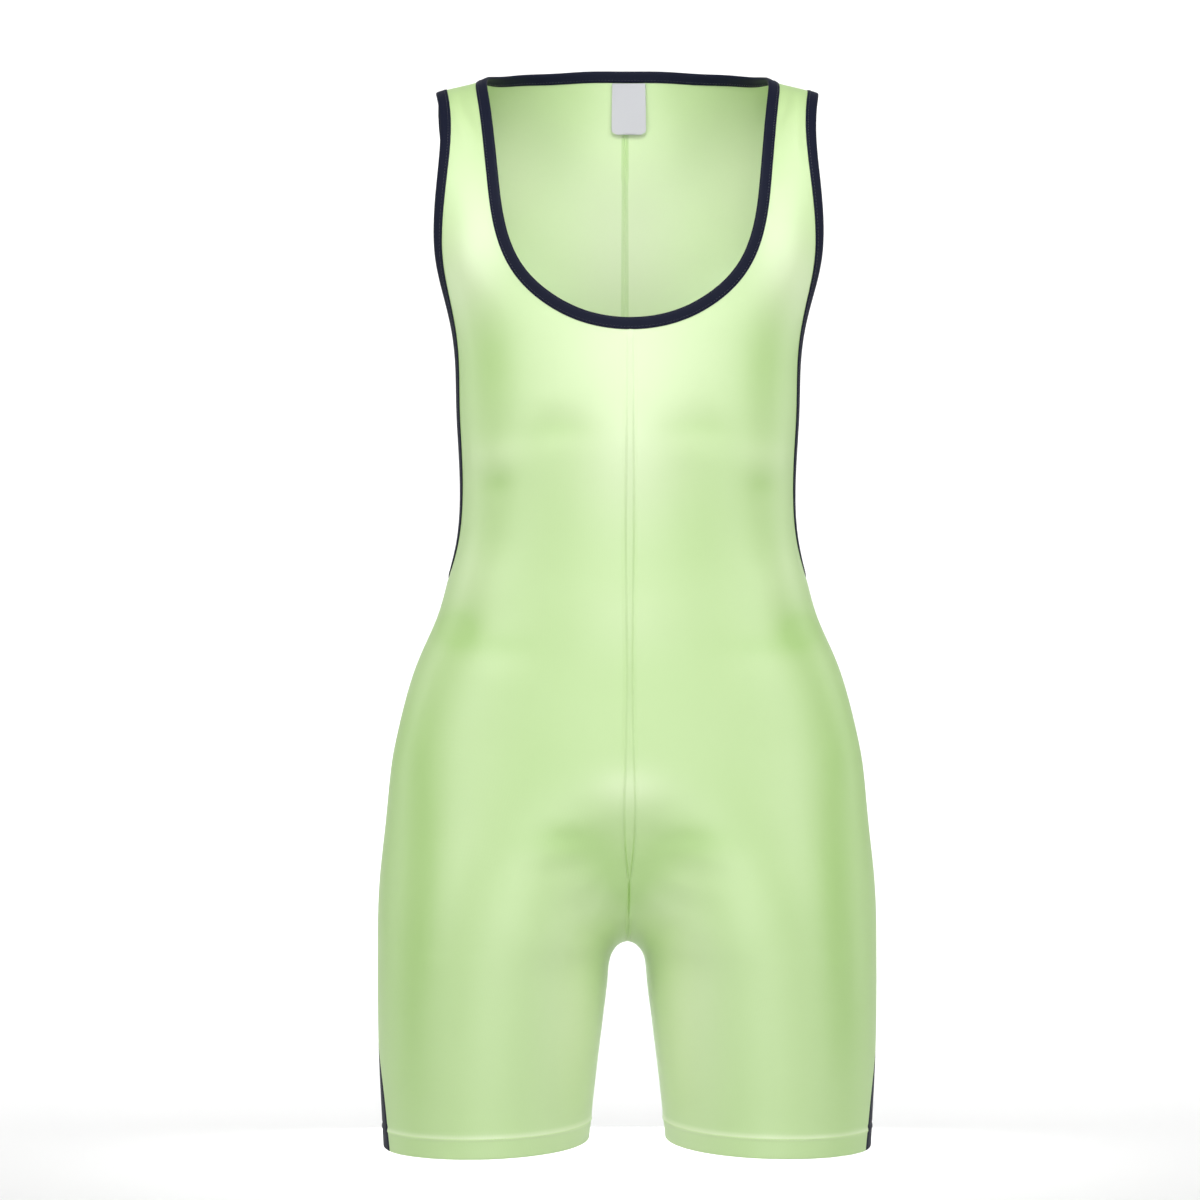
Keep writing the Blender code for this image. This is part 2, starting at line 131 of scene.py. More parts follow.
# Edge of the neck opening as x, y, z, front middle to back middle
NECK_EDGE = (
    (0, -111, -183.5),
    (30, -109, -179),
    (57, -105, -165.5),
    (79, -98, -143.5),
    (91, -90, -113),
    (96.5, -82, -80),
    (99.5, -66, -47),
    (102, -34, -14),
    (102.5, 8, 8),
    (98.5, SHOULDER_SEAM_Y, 11.5),
    (84, 46, 17.5),
    (58, 66, 22),
    (28, 77, 25),
    (0, 80, 25.6),
)
NECK_SEAM_ROW = 9

# Edge of the armhole, from the shoulder seam down the front, round its foot and up the back
ARMHOLE_EDGE = (
    (144, SHOULDER_SEAM_Y, -8),
    (144.5, 8, -6.5),
    (143, -25, -16),
    (141.5, -50, -45),
    (142.5, -58, -85),
    (144, -58, -115),
    (141.5, -52, -140),
    (134, -41, -168),
    (127, -33, -195),
    (124.5, -29, -235),
    (125, -26, -275),
    (125, -20, -310),
    (127, -15, -336),
    (129.5, -11, -351),
    (131.5, -4.5, -361),
    (132, SIDE_SEAM_Y, ARMHOLE_FOOT_Z),
    (131.5, 10, -361),
    (129.5, 15.5, -351),
    (127.5, 19, -334),
    (126, 20, -305),
    (129, 19, -270),
    (130, 23, -238),
    (130, 37, -205),
    (134, 54, -170),
    (137, 66, -130),
    (141, 66, -85),
    (143.5, 52, -42),
    (144, 33, -17),
)
ARMHOLE_FRONT_TURN_ROW = 9
ARMHOLE_FOOT_ROW = 15
ARMHOLE_BACK_TURN_ROW = 24

# Seams of the dark insert at the outside of each leg, apex to hem
INSERT_COLUMNS = ("height", "half_width")
INSERT = (
    (-717, 0.5),
    (-735, 13),
    (-757, 23.5),
    (-785, 30),
    (-805, 33.5),
)

# How far above the insert's apex a row still belongs to it
APEX_MARGIN = 0.3

# Rows and columns of each panel's cloth, fine enough for creases a few millimetres wide
FRONT_NECK_ROWS = 84
BACK_NECK_ROWS = 40
FRONT_CHEST_ROWS = 45
BACK_CHEST_ROWS = 70
CROTCH_ROWS = 70
INSEAM_ROWS = 54
SEAT_TO_INSERT_ROWS = 22
HEM_ROWS = np.linspace(HEM_DEEP, 0.0, 17)
PANEL_ACROSS = 60
INSERT_ACROSS = 28
FOLD_TURNS = 5

# How the rows and columns crowd to the seams, the crotch and the armhole's foot
SEAM_CROWDING = 0.8
MIDDLE_CROWDING = 0.75
INSEAM_CROWDING = 1.7
FOOT_CROWDING = 0.68
CROTCH_CROWDING = 0.55
CROTCH_REACH = 70.0

# Heights where the middle seam's rows change, where a panel starts to turn about the leg, and by the seat
WAIST_Z = -400.0
LEG_AXIS_TOP_Z = -540.0
SEAT_SIDE_Z = -650.0

# Where a line starts before it settles on the figure
GUESS_DEEP = 95.0
GUESS_WIDE = 180.0

# What keeps the inside leg seam steady at the crotch: the least slope it follows and its furthest reach
INSEAM_LEAST_SLOPE = -0.02
INSEAM_FURTHEST = 40.0

# The care label inside the back neck
LABEL_WIDE = 28.0
LABEL_LONG = 39.0
LABEL_THICK = 0.5
LABEL_OFF_CENTRE = 3.0
LABEL_CLEAR = 1.9
LABEL_CORNER = 4.0
LABEL_TUCK = 0.2
LABEL_ROWS = 27
LABEL_ACROSS = 21
LABEL_CURL = 1.6
LABEL_SWAY = 0.5
LABEL_WAVES = 2.2
LABEL_WAVE_START = 0.4


class Curve:
    """Natural cubic spline through values at rising knots."""

    def __init__(self, knots, values):
        self.knots = np.asarray(knots, float)
        self.values = np.asarray(values, float)
        count = len(self.knots)
        step = np.diff(self.knots)
        slope = np.diff(self.values, axis=0) / step.reshape((-1,) + (1,) * (self.values.ndim - 1))
        matrix = np.eye(count)
        bend = np.zeros_like(self.values)
        for row in range(1, count - 1):
            matrix[row, row - 1 : row + 2] = step[row - 1], 2 * (step[row - 1] + step[row]), step[row]
            bend[row] = 6 * (slope[row] - slope[row - 1])
        self.bend = np.linalg.solve(matrix, bend)

    def __call__(self, at):
        at = np.clip(at, self.knots[0], self.knots[-1])
        row = np.clip(np.searchsorted(self.knots, at) - 1, 0, len(self.knots) - 2)
        step = self.knots[row + 1] - self.knots[row]
        late = (at - self.knots[row]) / step
        early = 1 - late
        if self.values.ndim > 1:
            step, late, early = step[..., None], late[..., None], early[..., None]
        straight = early * self.values[row] + late * self.values[row + 1]
        curl = (early**3 - early) * self.bend[row] + (late**3 - late) * self.bend[row + 1]
        return straight + curl * step**2 / 6


def columns_of(table, names):
    """A table read as one curve for each column after the first, rising in the first column."""
    rows = np.array(sorted(table), float)
    return {name: Curve(rows[:, 0], rows[:, i]) for i, name in enumerate(names) if i}


torso = columns_of(TORSO, TORSO_COLUMNS)
leg = columns_of(LEG, LEG_COLUMNS)
ridge = columns_of(RIDGE, RIDGE_COLUMNS)
insert = columns_of(INSERT, INSERT_COLUMNS)


def ease(amount):
    amount = np.clip(amount, 0, 1)
    return amount * amount * (3 - 2 * amount)


def shoulder_field(x, y, z):
    """Above the chest: each upright slice from front to back is an arch under the ridge."""
    across = np.clip(np.abs(x) / torso["half_width"](z), 0, WIDEST_ACROSS)
    fullness = (1 - across**BODY_POWER) ** (1 / BODY_POWER)
    middle = RIDGE_Y * ease((z - CHEST_Z) / -CHEST_Z)
    ahead = y < middle
    depth = np.where(
        ahead,
        torso["front"](z) * fullness + middle,
        torso["back"](z) * fullness - middle,
    )
    power = np.where(ahead, FRONT_ARCH_POWER, BACK_ARCH_POWER)
    rise = np.clip((z - CHEST_Z) / (ridge["height"](np.abs(x)) - CHEST_Z), 0, None)
    reach = ((np.abs(y - middle) / depth) ** power + rise**power) ** (1 / power)
    return (reach - 1) * FIELD_SCALE


def trunk_field(x, y, z):
    """Chest to hip: a rounded oval, deeper or shallower at the back than at the front."""
    depth = np.where(y < 0, torso["front"](z), torso["back"](z))
    across = np.abs(x) / torso["half_width"](z)
    reach = (across**BODY_POWER + (np.abs(y) / depth) ** BODY_POWER) ** (1 / BODY_POWER)
    return (reach - 1) * FIELD_SCALE


def leg_field(x, y, z):
    """Two legs, with the cloth spanning between them where they meet."""
    centre = (leg["outer"](z) + leg["inner"](z)) / 2
    radius = (leg["outer"](z) - leg["inner"](z)) / 2
    aside = y - leg["middle"](z)
    deep = aside / np.where(aside < 0, leg["front"](z), leg["back"](z))
    left = (np.hypot((x - centre) / radius, deep) - 1) * radius
    right = (np.hypot((x + centre) / radius, deep) - 1) * radius
    web = leg["web"](z)
    shared = np.clip(web - np.abs(left - right), 0, None) / web
    return np.minimum(left, right) - shared**2 * web / 4


def body_field(points):
    """Negative inside the general figure that fills the garment, nought on its surface."""
    x, y, z = points[..., 0], points[..., 1], points[..., 2]
    high = ease((z - SEAT_Z) / (HIP_Z - SEAT_Z))
    low = high * trunk_field(x, y, z) + (1 - high) * leg_field(x, y, z)
    return np.where(z > CHEST_Z, shoulder_field(x, y, z), low)


def slope_of(points, step=0.05):
    parts = []
    for axis in range(3):
        shift = np.zeros(3)
        shift[axis] = step
        parts.append((body_field(points + shift) - body_field(points - shift)) / (2 * step))
    return np.stack(parts, axis=-1)


def onto_body(points, level=False):
    """Points moved straight out or in until they lie on the figure, at their own height if level."""
    points = np.array(points, float)
    for _ in range(SETTLE_STEPS):
        slope = slope_of(points)
        if level:
            slope[..., 2] = 0
        points -= slope * (body_field(points) / (slope**2).sum(-1))[..., None]
    return points


def outward(points):
    slope = slope_of(points)
    return slope / np.linalg.norm(slope, axis=-1, keepdims=True)


class Rim:
    """Stations round an opening's edge, each with the way from the edge into the cloth.

    The edge is a smooth closed curve through the controls. Each stop is a control's row, the number of
    stations up to it from the stop before, and how they crowd to its start (above 1) or its end (below 1).
    """

    def __init__(self, controls, stops):
        controls = onto_body(controls)
        total = len(controls)
        wrapped = np.concatenate([controls, controls, controls, controls[:1]])
        knots = np.concatenate([[0], np.cumsum(np.linalg.norm(np.diff(wrapped, axis=0), axis=1))])
        curve = Curve(knots, wrapped)
        places = [knots[total : total + 1]]
        for row, steps, crowding in stops:
            reached = places[-1][-1]
            places.append(reached + (knots[total + row] - reached) * crowded(steps, crowding)[1:])
        at = np.concatenate(places)
        self.edge = onto_body(curve(at))
        along = curve(at + 1) - curve(at - 1)
        self.off = np.cross(along, outward(self.edge))
        self.off /= np.linalg.norm(self.off, axis=1, keepdims=True)

    def beside(self, distance):
        """The line that runs beside the edge, this far into the cloth."""
        return onto_body(self.edge + self.off * distance)

    def cut(self, first, last):
        """A panel's edge between two stations, tucked into the binding's fold."""
        return self.beside(BINDING_WIDE - BINDING_LAP)[first : last + 1]


def crowded(steps, crowding):
    """steps + 1 shares from 0 to 1: even, or crowded to the start (above 1) or to the end (below 1)."""
    share = np.linspace(0, 1, steps + 1)
    return share**crowding if crowding >= 1 else 1 - (1 - share) ** (1 / crowding)


def spaced(points, steps, crowding=1.0):
    """steps + 1 points along a line."""
    length = np.concatenate([[0], np.cumsum(np.linalg.norm(np.diff(points, axis=0), axis=1))])
    at = length[-1] * crowded(steps, crowding)
    return np.stack([np.interp(at, length, points[:, axis]) for axis in range(3)], axis=1)


def clear_of_seam(line):
    """The line with its first point moved a hair's gap along it."""
    line = line.copy()
    step = line[1] - line[0]
    line[0] += step * (SEAM_HALF_GAP / np.linalg.norm(step))
    return line


def neck_rim():
    """Round the neck from the front middle: this side, then the other side mirrored."""
    near = np.array(NECK_EDGE, float)
    loop = np.concatenate([near, near[-2:0:-1] * (-1, 1, 1)])
    front, back, total = FRONT_NECK_ROWS, BACK_NECK_ROWS, len(NECK_EDGE) - 1
    stops = (
        (NECK_SEAM_ROW, front, 1.0),
        (total, back, 1.0),
        (2 * total - NECK_SEAM_ROW, back, 1.0),
        (2 * total, front, 1.0),
    )
    return Rim(loop, stops)


def armhole_rim():
    """Round an armhole from the shoulder seam, down the front and up the back."""
    stops = (
        (ARMHOLE_FRONT_TURN_ROW, FRONT_NECK_ROWS, 1.0),
        (ARMHOLE_FOOT_ROW, FRONT_CHEST_ROWS, FOOT_CROWDING),
        (ARMHOLE_BACK_TURN_ROW, BACK_CHEST_ROWS, 1 / FOOT_CROWDING),
        (len(ARMHOLE_EDGE), BACK_NECK_ROWS, 1.0),
    )
    return Rim(np.array(ARMHOLE_EDGE, float), stops)


def middle_line(side, top_z, foot_z, count=60):
    """The centre front (side -1) or centre back (side 1), a hair's gap from the middle."""
    heights = np.linspace(top_z, foot_z, count)
    depths = np.full(count, side * GUESS_DEEP)
    return beside_middle(onto_body(np.stack([np.zeros(count), depths, heights], axis=1), level=True))


def middle_turn(side, top_z, count=80):
    """The middle line's lower end, which turns under to the crotch."""
    turn = np.linspace(0, math.pi / 2, count)
    heights = top_z + (CROTCH_Z - top_z) * np.sin(turn)
    depths = leg["middle"](CROTCH_Z) + side * GUESS_DEEP * np.cos(turn)
    line = beside_middle(onto_body(np.stack([np.zeros(count), depths, heights], axis=1)))
    line[0] = middle_line(side, top_z, top_z, 1)[0]
    line[-1] = crotch_point(side)
    return line


def beside_middle(line):
    line[:, 0] = SEAM_HALF_GAP
    return line


def crotch_point(side):
    return np.array([SEAM_HALF_GAP, leg["middle"](CROTCH_Z) + side * SEAM_HALF_GAP, CROTCH_Z])


def inseam(side):
    """The inside leg seam, from the crotch to the hem."""
    reach = INNER_HEM_Z + HEM_ROWS[0] - CROTCH_Z
    thigh = CROTCH_Z + reach * crowded(INSEAM_ROWS, INSEAM_CROWDING)
    heights = np.concatenate([thigh, INNER_HEM_Z + HEM_ROWS[1:]])
    line = np.stack([leg["inner"](heights), leg["middle"](heights), heights], axis=1)
    for _ in range(SETTLE_STEPS):
        slope = np.minimum(slope_of(line)[:, 0], INSEAM_LEAST_SLOPE)
        line[:, 0] = np.clip(line[:, 0] - body_field(line) / slope, 0, INSEAM_FURTHEST)
    line[:, 1] += side * SEAM_HALF_GAP
    line[0] = crotch_point(side)
    return line


def side_heights(top_z):
    """Heights of the rows down the side: to the seat, to the insert's apex, to the hem."""
    thigh_rows = INSEAM_ROWS - SEAT_TO_INSERT_ROWS
    return np.concatenate([
        np.linspace(top_z, SEAT_SIDE_Z, CROTCH_ROWS + 1),
        np.linspace(SEAT_SIDE_Z, INSERT_TOP_Z, SEAT_TO_INSERT_ROWS + 1)[1:],
        np.linspace(INSERT_TOP_Z, OUTER_HEM_Z + HEM_ROWS[0], thigh_rows + 1)[1:],
        OUTER_HEM_Z + HEM_ROWS[1:],
    ])


def side_line(side, heights):
    """The side seam, which parts at the insert's apex into its front (-1) and back (1) seams."""
    spread = np.where(heights < INSERT_TOP_Z + APEX_MARGIN, insert["half_width"](heights), 0)
    depths = SIDE_SEAM_Y + side * (spread + SEAM_HALF_GAP)
    return onto_body(np.stack([np.full(len(heights), GUESS_WIDE), depths, heights], axis=1), level=True)


def panel_edges(side, neck, armhole):
    """Matching points down a panel's inner and outer edges."""
    shoulder, back_middle = FRONT_NECK_ROWS, FRONT_NECK_ROWS + BACK_NECK_ROWS
    foot = FRONT_NECK_ROWS + FRONT_CHEST_ROWS
    if side < 0:
        chest_rows = FRONT_CHEST_ROWS
        neckline = neck.cut(0, shoulder)[::-1]
        scye = armhole.cut(0, foot)
    else:
        chest_rows = BACK_CHEST_ROWS
        neckline = neck.cut(shoulder, back_middle)
        scye = armhole.cut(foot, len(armhole.edge) - 1)[::-1]
    neckline[-1, 0] = SEAM_HALF_GAP
    inner = [
        clear_of_seam(neckline),
        spaced(middle_line(side, neckline[-1, 2], WAIST_Z), chest_rows),
        spaced(middle_turn(side, WAIST_Z), CROTCH_ROWS, MIDDLE_CROWDING),
        inseam(side),
    ]
    outer = [clear_of_seam(scye), side_line(side, side_heights(scye[-1, 2]))]
    return joined(inner), joined(outer)


def joined(stretches):
    return np.concatenate([part[:-1] for part in stretches[:-1]] + [stretches[-1]])


def axis_x(z):
    """The line that a panel's rows turn about: the body's middle above, the leg's middle below."""
    centre = (leg["outer"](z) + leg["inner"](z)) / 2
    return centre * ease((LEG_AXIS_TOP_Z - z) / (LEG_AXIS_TOP_Z - CROTCH_Z))


def across_body(inner, outer, columns):
    """Rows of points on the figure, turning from each inner edge point to its outer one."""
    even = np.linspace(0, 1, columns + 1)
    both_ends = even - SEAM_CROWDING * np.sin(2 * math.pi * even) / (2 * math.pi)
    crowd = 1 + CROTCH_CROWDING * np.exp(-(((inner[:, 2] - CROTCH_Z) / CROTCH_REACH) ** 2))
    share = both_ends[None, :] ** crowd[:, None]
    level = (1 - share) * inner[:, None, 2] + share * outer[:, None, 2]
    angles, radii = [], []
    for line in (inner, outer):
        away = line[:, 0] - axis_x(line[:, 2])
        ahead = leg["middle"](line[:, 2]) - line[:, 1]
        angles.append(np.arctan2(ahead, away)[:, None])
        radii.append(np.hypot(ahead, away)[:, None])
    angle = (1 - share) * angles[0] + share * angles[1]
    radius = (1 - share) * radii[0] + share * radii[1]
    x = axis_x(level) + radius * np.cos(angle)
    y = leg["middle"](level) - radius * np.sin(angle)
    rows = np.stack([x, y, level], axis=-1)
    low = outer[:, 2] < ARMHOLE_FOOT_Z
    rows[low] = onto_body(rows[low], level=True)
    rows[~low] = onto_body(rows[~low])
    rows[:, 0], rows[:, -1] = inner, outer
    return rows


# A crease's raised lip, in its own widths and depths, and how deep it still is at its ends
LIP_APART = 1.9
LIP_SHARE = 0.45
CREASE_END_SHARE = 0.35

# How sharply a crease or a soft spot fades where the cloth turns away from the side it is seen from
FACING_SHARPNESS = 1.2

# Soft creases in the filled cloth, each pushed in along a bowed line as seen from one side
CREASE_COLUMNS = ("seen_from", "start_x", "start_z", "end_x", "end_z", "bow", "width", "depth")
CREASES = (
    ("front", -128, -6, -112, -42, 3, 4.5, 1.3),
    ("front", -139, -24, -133, -58, -2, 3.5, 1.0),
    ("front", 127, -8, 113, -38, -3, 4.5, 1.2),
    ("front", 138, -22, 134, -62, 2, 3.5, 0.9),
    ("front", -8, -558, -64, -562, -5, 7.0, 0.6),
    ("front", -9, -570, -74, -590, -6, 8.0, 0.8),
    ("front", -8, -586, -52, -622, -5, 7.0, 0.6),
    ("front", 8, -557, 58, -563, 5, 7.0, 0.6),
    ("front", 9, -569, 78, -592, 6, 8.0, 0.8),
    ("front", 9, -588, 56, -618, 5, 7.0, 0.5),
    ("front", -28, -264, -72, -268, 3, 11.0, 0.9),
    ("front", 28, -262, 68, -267, -3, 11.0, 0.8),
    ("front", -124, -408, -62, -430, 5, 13.0, 0.4),
    ("front", 124, -409, 58, -428, -5, 13.0, 0.35),
    ("back", -14, -560, -70, -598, 8, 10.0, 1.4),
    ("back", 12, -566, 62, -604, -8, 10.0, 1.3),
    ("back", -10, -600, -58, -634, 6, 9.0, 1.2),
    ("back", 11, -604, 66, -632, -6, 9.0, 1.1),
    ("back", -24, -398, -92, -384, 4, 12.0, 1.5),
    ("back", 20, -388, 96, -396, -5, 11.0, 1.4),
    ("back", -34, -420, -110, -410, -4, 12.0, 1.2),
    ("back", 40, -412, 104, -424, 4, 12.0, 1.1),
)

# Broad soft swells, and hollows below nought, of the stretched cloth over the filled form
SPOT_COLUMNS = ("seen_from", "x", "z", "reach_x", "reach_z", "amount")
SWELLS = (
    ("front", -106, -138, 42, 42, 1.2),
    ("front", 107, -140, 42, 42, 1.1),
    ("front", 0, -268, 42, 40, 4.0),
    ("front", -50, -264, 26, 14, -0.5),
    ("front", 48, -263, 26, 14, -0.45),
    ("front", -102, -284, 22, 14, 1.6),
    ("front", 101, -285, 22, 14, 1.5),
    ("front", -98, -305, 13, 9, -0.8),
    ("front", 98, -306, 13, 9, -0.7),
    ("front", -112, -374, 26, 22, 1.6),
    ("front", 113, -375, 26, 22, 1.5),
    ("front", -129, -408, 15, 18, -1.0),
    ("front", 129, -409, 15, 18, -0.9),
    ("front", 0, -396, 52, 30, 2.2),
    ("front", 0, -526, 36, 24, 2.2),
    ("front", -40, -568, 32, 19, -1.0),
    ("front", 41, -569, 32, 19, -0.9),
    ("front", -20, -588, 20, 18, -1.2),
    ("front", 20, -589, 20, 18, -1.1),
    ("front", -58, -642, 34, 28, 2.4),
    ("front", 60, -643, 34, 28, 2.3),
    ("back", -70, -120, 46, 60, 4.0),
    ("back", 70, -122, 46, 60, 4.0),
    ("back", 0, -330, 24, 90, -2.4),
    ("back", -84, -470, 50, 40, 2.6),
    ("back", 84, -472, 50, 40, 2.6),
)

# How pale the dye is at rest, a painted highlight making the hem's edge paler, and how much deeper at the
# back seam
REST_PALENESS = 0.16
HEM_PAINTED_HIGHLIGHT = 0.4
HEM_LINE_WIDE = 1.6
BACK_SEAM_DEEPER = 0.3

# Painted highlights (paler) and painted shade (deeper); pale spots partly stand for cloth pulled thin over
# the form
PAINTED_LIGHT_AND_STRETCH = (
    ("front", 0, -205, 68, 60, 0.42),
    ("front", -124, -55, 26, 50, 0.22),
    ("front", 124, -57, 26, 50, 0.22),
    ("front", -118, -142, 26, 36, 0.4),
    ("front", 119, -144, 26, 36, 0.4),
    ("front", -100, -212, 28, 32, -0.1),
    ("front", 100, -210, 28, 32, -0.1),
    ("front", 0, -290, 40, 50, 0.28),
    ("front", -48, -264, 22, 8, -0.1),
    ("front", 47, -263, 22, 8, -0.09),
    ("front", -100, -280, 22, 12, 0.14),
    ("front", 101, -281, 22, 12, 0.13),
    ("front", -97, -302, 9, 7, -0.12),
    ("front", 98, -303, 9, 7, -0.11),
    ("front", -114, -370, 16, 24, 0.14),
    ("front", 114, -371, 16, 24, 0.14),
    ("front", 0, -396, 46, 30, 0.12),
    ("front", -128, -410, 15, 13, -0.3),
    ("front", 128, -411, 15, 13, -0.3),
    ("front", -100, -422, 26, 9, -0.1),
    ("front", 99, -423, 26, 9, -0.1),
    ("front", 0, -526, 26, 16, 0.24),
    ("front", -32, -710, 26, 90, 0.42),
    ("front", 33, -712, 26, 90, 0.42),
    ("front", -166, -590, 26, 150, -0.26),
    ("front", 166, -592, 26, 150, -0.26),
    ("front", -44, -565, 30, 13, -0.2),
    ("front", 44, -566, 30, 13, -0.2),
    ("front", -20, -584, 18, 18, -0.16),
    ("front", 21, -585, 18, 18, -0.16),
    ("front", 0, -602, 16, 20, -0.24),
    ("back", 0, -120, 60, 110, 0.5),
    ("back", -96, -60, 40, 60, 0.34),
    ("back", 96, -60, 40, 60, 0.34),
    ("back", -80, -480, 55, 60, 0.12),
    ("back", 80, -482, 55, 60, 0.12),
)


def facing(away, seen_from):
    """From 0 to 1: how far the cloth faces front or back."""
    side = -1 if seen_from == "front" else 1
    return ease(0.5 + side * away[..., 1] * FACING_SHARPNESS)


def crease_depths(points, away):
    """How far the creases push each point of the cloth in."""
    total = np.zeros(points.shape[:-1])
    x, z = points[..., 0], points[..., 2]
    for row in CREASES:
        crease = dict(zip(CREASE_COLUMNS, row))
        start = np.array([crease["start_x"], crease["start_z"]], float)
        run = np.array([crease["end_x"], crease["end_z"]], float) - start
        length = np.hypot(*run)
        along = ((x - start[0]) * run[0] + (z - start[1]) * run[1]) / length**2
        aside = ((x - start[0]) * run[1] - (z - start[1]) * run[0]) / length
        inside = np.clip(along, 0, 1)
        aside = aside - crease["bow"] * 4 * inside * (1 - inside)
        beyond = (along - inside) * length
        near = (aside**2 + beyond**2) / crease["width"] ** 2
        taper = CREASE_END_SHARE + (1 - CREASE_END_SHARE) * np.sin(math.pi * inside)
        lip = ((aside - LIP_APART * crease["width"]) ** 2 + beyond**2) / crease["width"] ** 2
        shape = np.exp(-near) - LIP_SHARE * np.exp(-lip)
        total += crease["depth"] * taper * shape * facing(away, crease["seen_from"])
    return total


def soft_spots(table, points, away):
    """What a table's soft round spots add up to at each point of the cloth."""
    total = np.zeros(points.shape[:-1])
    for row in table:
        spot = dict(zip(SPOT_COLUMNS, row))
        aside = (points[..., 0] - spot["x"]) / spot["reach_x"]
        above = (points[..., 2] - spot["z"]) / spot["reach_z"]
        total += spot["amount"] * np.exp(-(aside**2) - above**2) * facing(away, spot["seen_from"])
    return total


def arc_from(grid, first):
    """Each point's distance along its row from the row's first or last point."""
    steps = np.linalg.norm(np.diff(grid, axis=1), axis=-1)
    gone = np.concatenate([np.zeros((len(grid), 1)), np.cumsum(steps, axis=1)], axis=1)
    return gone if first else gone[:, -1:] - gone


# The raised strip down the centre front: half its width and how far it rises, from its foot to the neck
STRIP_COLUMNS = ("height", "half_width", "rise")
STRIP = (
    (-660, 0.5, 0.0),
    (-597, 0.6, 0.0),
    (-590, 1.8, 0.7),
    (-583, 2.7, 0.95),
    (-500, 2.8, 0.95),
    (-330, 2.8, 0.9),
    (-260, 2.3, 0.85),
    (-180, 2.0, 0.8),
)
strip = columns_of(STRIP, STRIP_COLUMNS)
STRIP_EDGE = 0.7
STRIP_WHOLE_RISE = 0.4
STRIP_GROOVE_OFF = 1.2
STRIP_GROOVE_WIDE = 0.9
STRIP_GROOVE_DEEP = 0.45

# Grooves in the centre front below the strip, each fading in at its top and out at its foot
LOW_GROOVE_COLUMNS = ("off", "wide", "deep", "top", "top_fade", "foot", "foot_fade")
LOW_GROOVES = (
    (0.0, 2.4, 0.7, -592, 6, -626, 6),
    (3.4, 1.0, 0.5, -620, 5, -650, 8),
)

# The dip along a plain seam, how much of it shows under the strip's foot, and the back seam's low rise
SEAM_DIP = 0.55
SEAM_DIP_WIDE = 1.3
FRONT_SEAM_SHARE = 0.7
SHOULDER_SEAM_ROWS = 12
BACK_SEAM_WIDE = 2.8
BACK_SEAM_RISE = 0.35
BACK_SEAM_EDGE = 0.8

# The ridge along the hem's turned-up edge, and the groove above it
HEM_RIDGE = 0.5
HEM_RIDGE_BELOW = 0.6
HEM_RIDGE_WIDE = 1.3
HEM_GROOVE = 0.3
HEM_GROOVE_ABOVE = 2.0
HEM_GROOVE_WIDE = 1.2

# How far in from a bound edge the cloth lies flat, and over what distance swells and creases then grow
BOUND_FLAT = 3.0
UNBOUND = 100.0
SWELL_FADE_NECK = 40.0
SWELL_FADE_ARMHOLE = 25.0
CREASE_FADE = 8.0


def dip(distance, wide=SEAM_DIP_WIDE):
    return np.exp(-((distance / wide) ** 2))


def middle_relief(side, grid, from_inner):
    """Height of the centre seam above the cloth."""
    z = grid[..., 2]
    seam = -SEAM_DIP * dip(from_inner)
    if side > 0:
        return BACK_SEAM_RISE * ease((BACK_SEAM_WIDE - from_inner) / BACK_SEAM_EDGE) + seam
    half, rise = strip["half_width"](z), strip["rise"](z)
    present = ease(rise / STRIP_WHOLE_RISE)
    relief = rise * ease((half + STRIP_EDGE - from_inner) / (2 * STRIP_EDGE))
    relief -= STRIP_GROOVE_DEEP * dip(from_inner - half - STRIP_GROOVE_OFF, STRIP_GROOVE_WIDE) * present
    for row in LOW_GROOVES:
        groove = dict(zip(LOW_GROOVE_COLUMNS, row))
        starts = ease((groove["top"] - z) / groove["top_fade"])
        ends = ease((z - groove["foot"]) / groove["foot_fade"])
        relief -= groove["deep"] * dip(from_inner - groove["off"], groove["wide"]) * starts * ends
    return relief + (1 - present) * seam * FRONT_SEAM_SHARE


def hem_relief(rise):
    """Height of the hem's edge over the cloth, this far above its fold."""
    ridge_line = HEM_RIDGE * dip(rise - HEM_DEEP + HEM_RIDGE_BELOW, HEM_RIDGE_WIDE)
    return ridge_line - HEM_GROOVE * dip(rise - HEM_DEEP - HEM_GROOVE_ABOVE, HEM_GROOVE_WIDE)


def panel_relief(side, grid, away):
    """Height of the cloth's creases, seams and hem over the figure, at each point of a panel."""
    from_inner, from_outer = arc_from(grid, True), arc_from(grid, False)
    neck_rows = FRONT_NECK_ROWS if side < 0 else BACK_NECK_ROWS
    leg_row = neck_rows + (FRONT_CHEST_ROWS if side < 0 else BACK_CHEST_ROWS)
    row = np.arange(len(grid))[:, None]
    by_neck = np.where(row <= neck_rows, from_inner - BOUND_FLAT, UNBOUND)
    by_armhole = np.where(row <= leg_row, from_outer - BOUND_FLAT, UNBOUND)
    swells = soft_spots(SWELLS, grid, away)
    relief = swells * ease(by_neck / SWELL_FADE_NECK) * ease(by_armhole / SWELL_FADE_ARMHOLE)
    relief -= crease_depths(grid, away) * ease(by_neck / CREASE_FADE) * ease(by_armhole / CREASE_FADE)
    down_middle = (row > neck_rows) & (row <= leg_row + CROTCH_ROWS)
    relief += np.where(down_middle, middle_relief(side, grid, from_inner), 0)
    relief += np.where(row > leg_row + CROTCH_ROWS, -SEAM_DIP * dip(from_inner), 0)
    relief += np.where(row > leg_row, -SEAM_DIP * dip(from_outer), 0)
    from_shoulder = np.linalg.norm(grid - grid[:1], axis=-1)
    relief -= SEAM_DIP * dip(from_shoulder) * (row < SHOULDER_SEAM_ROWS)
    return relief + hem_relief(np.clip(grid[..., 2] - grid[-1:, :, 2], 0, None))


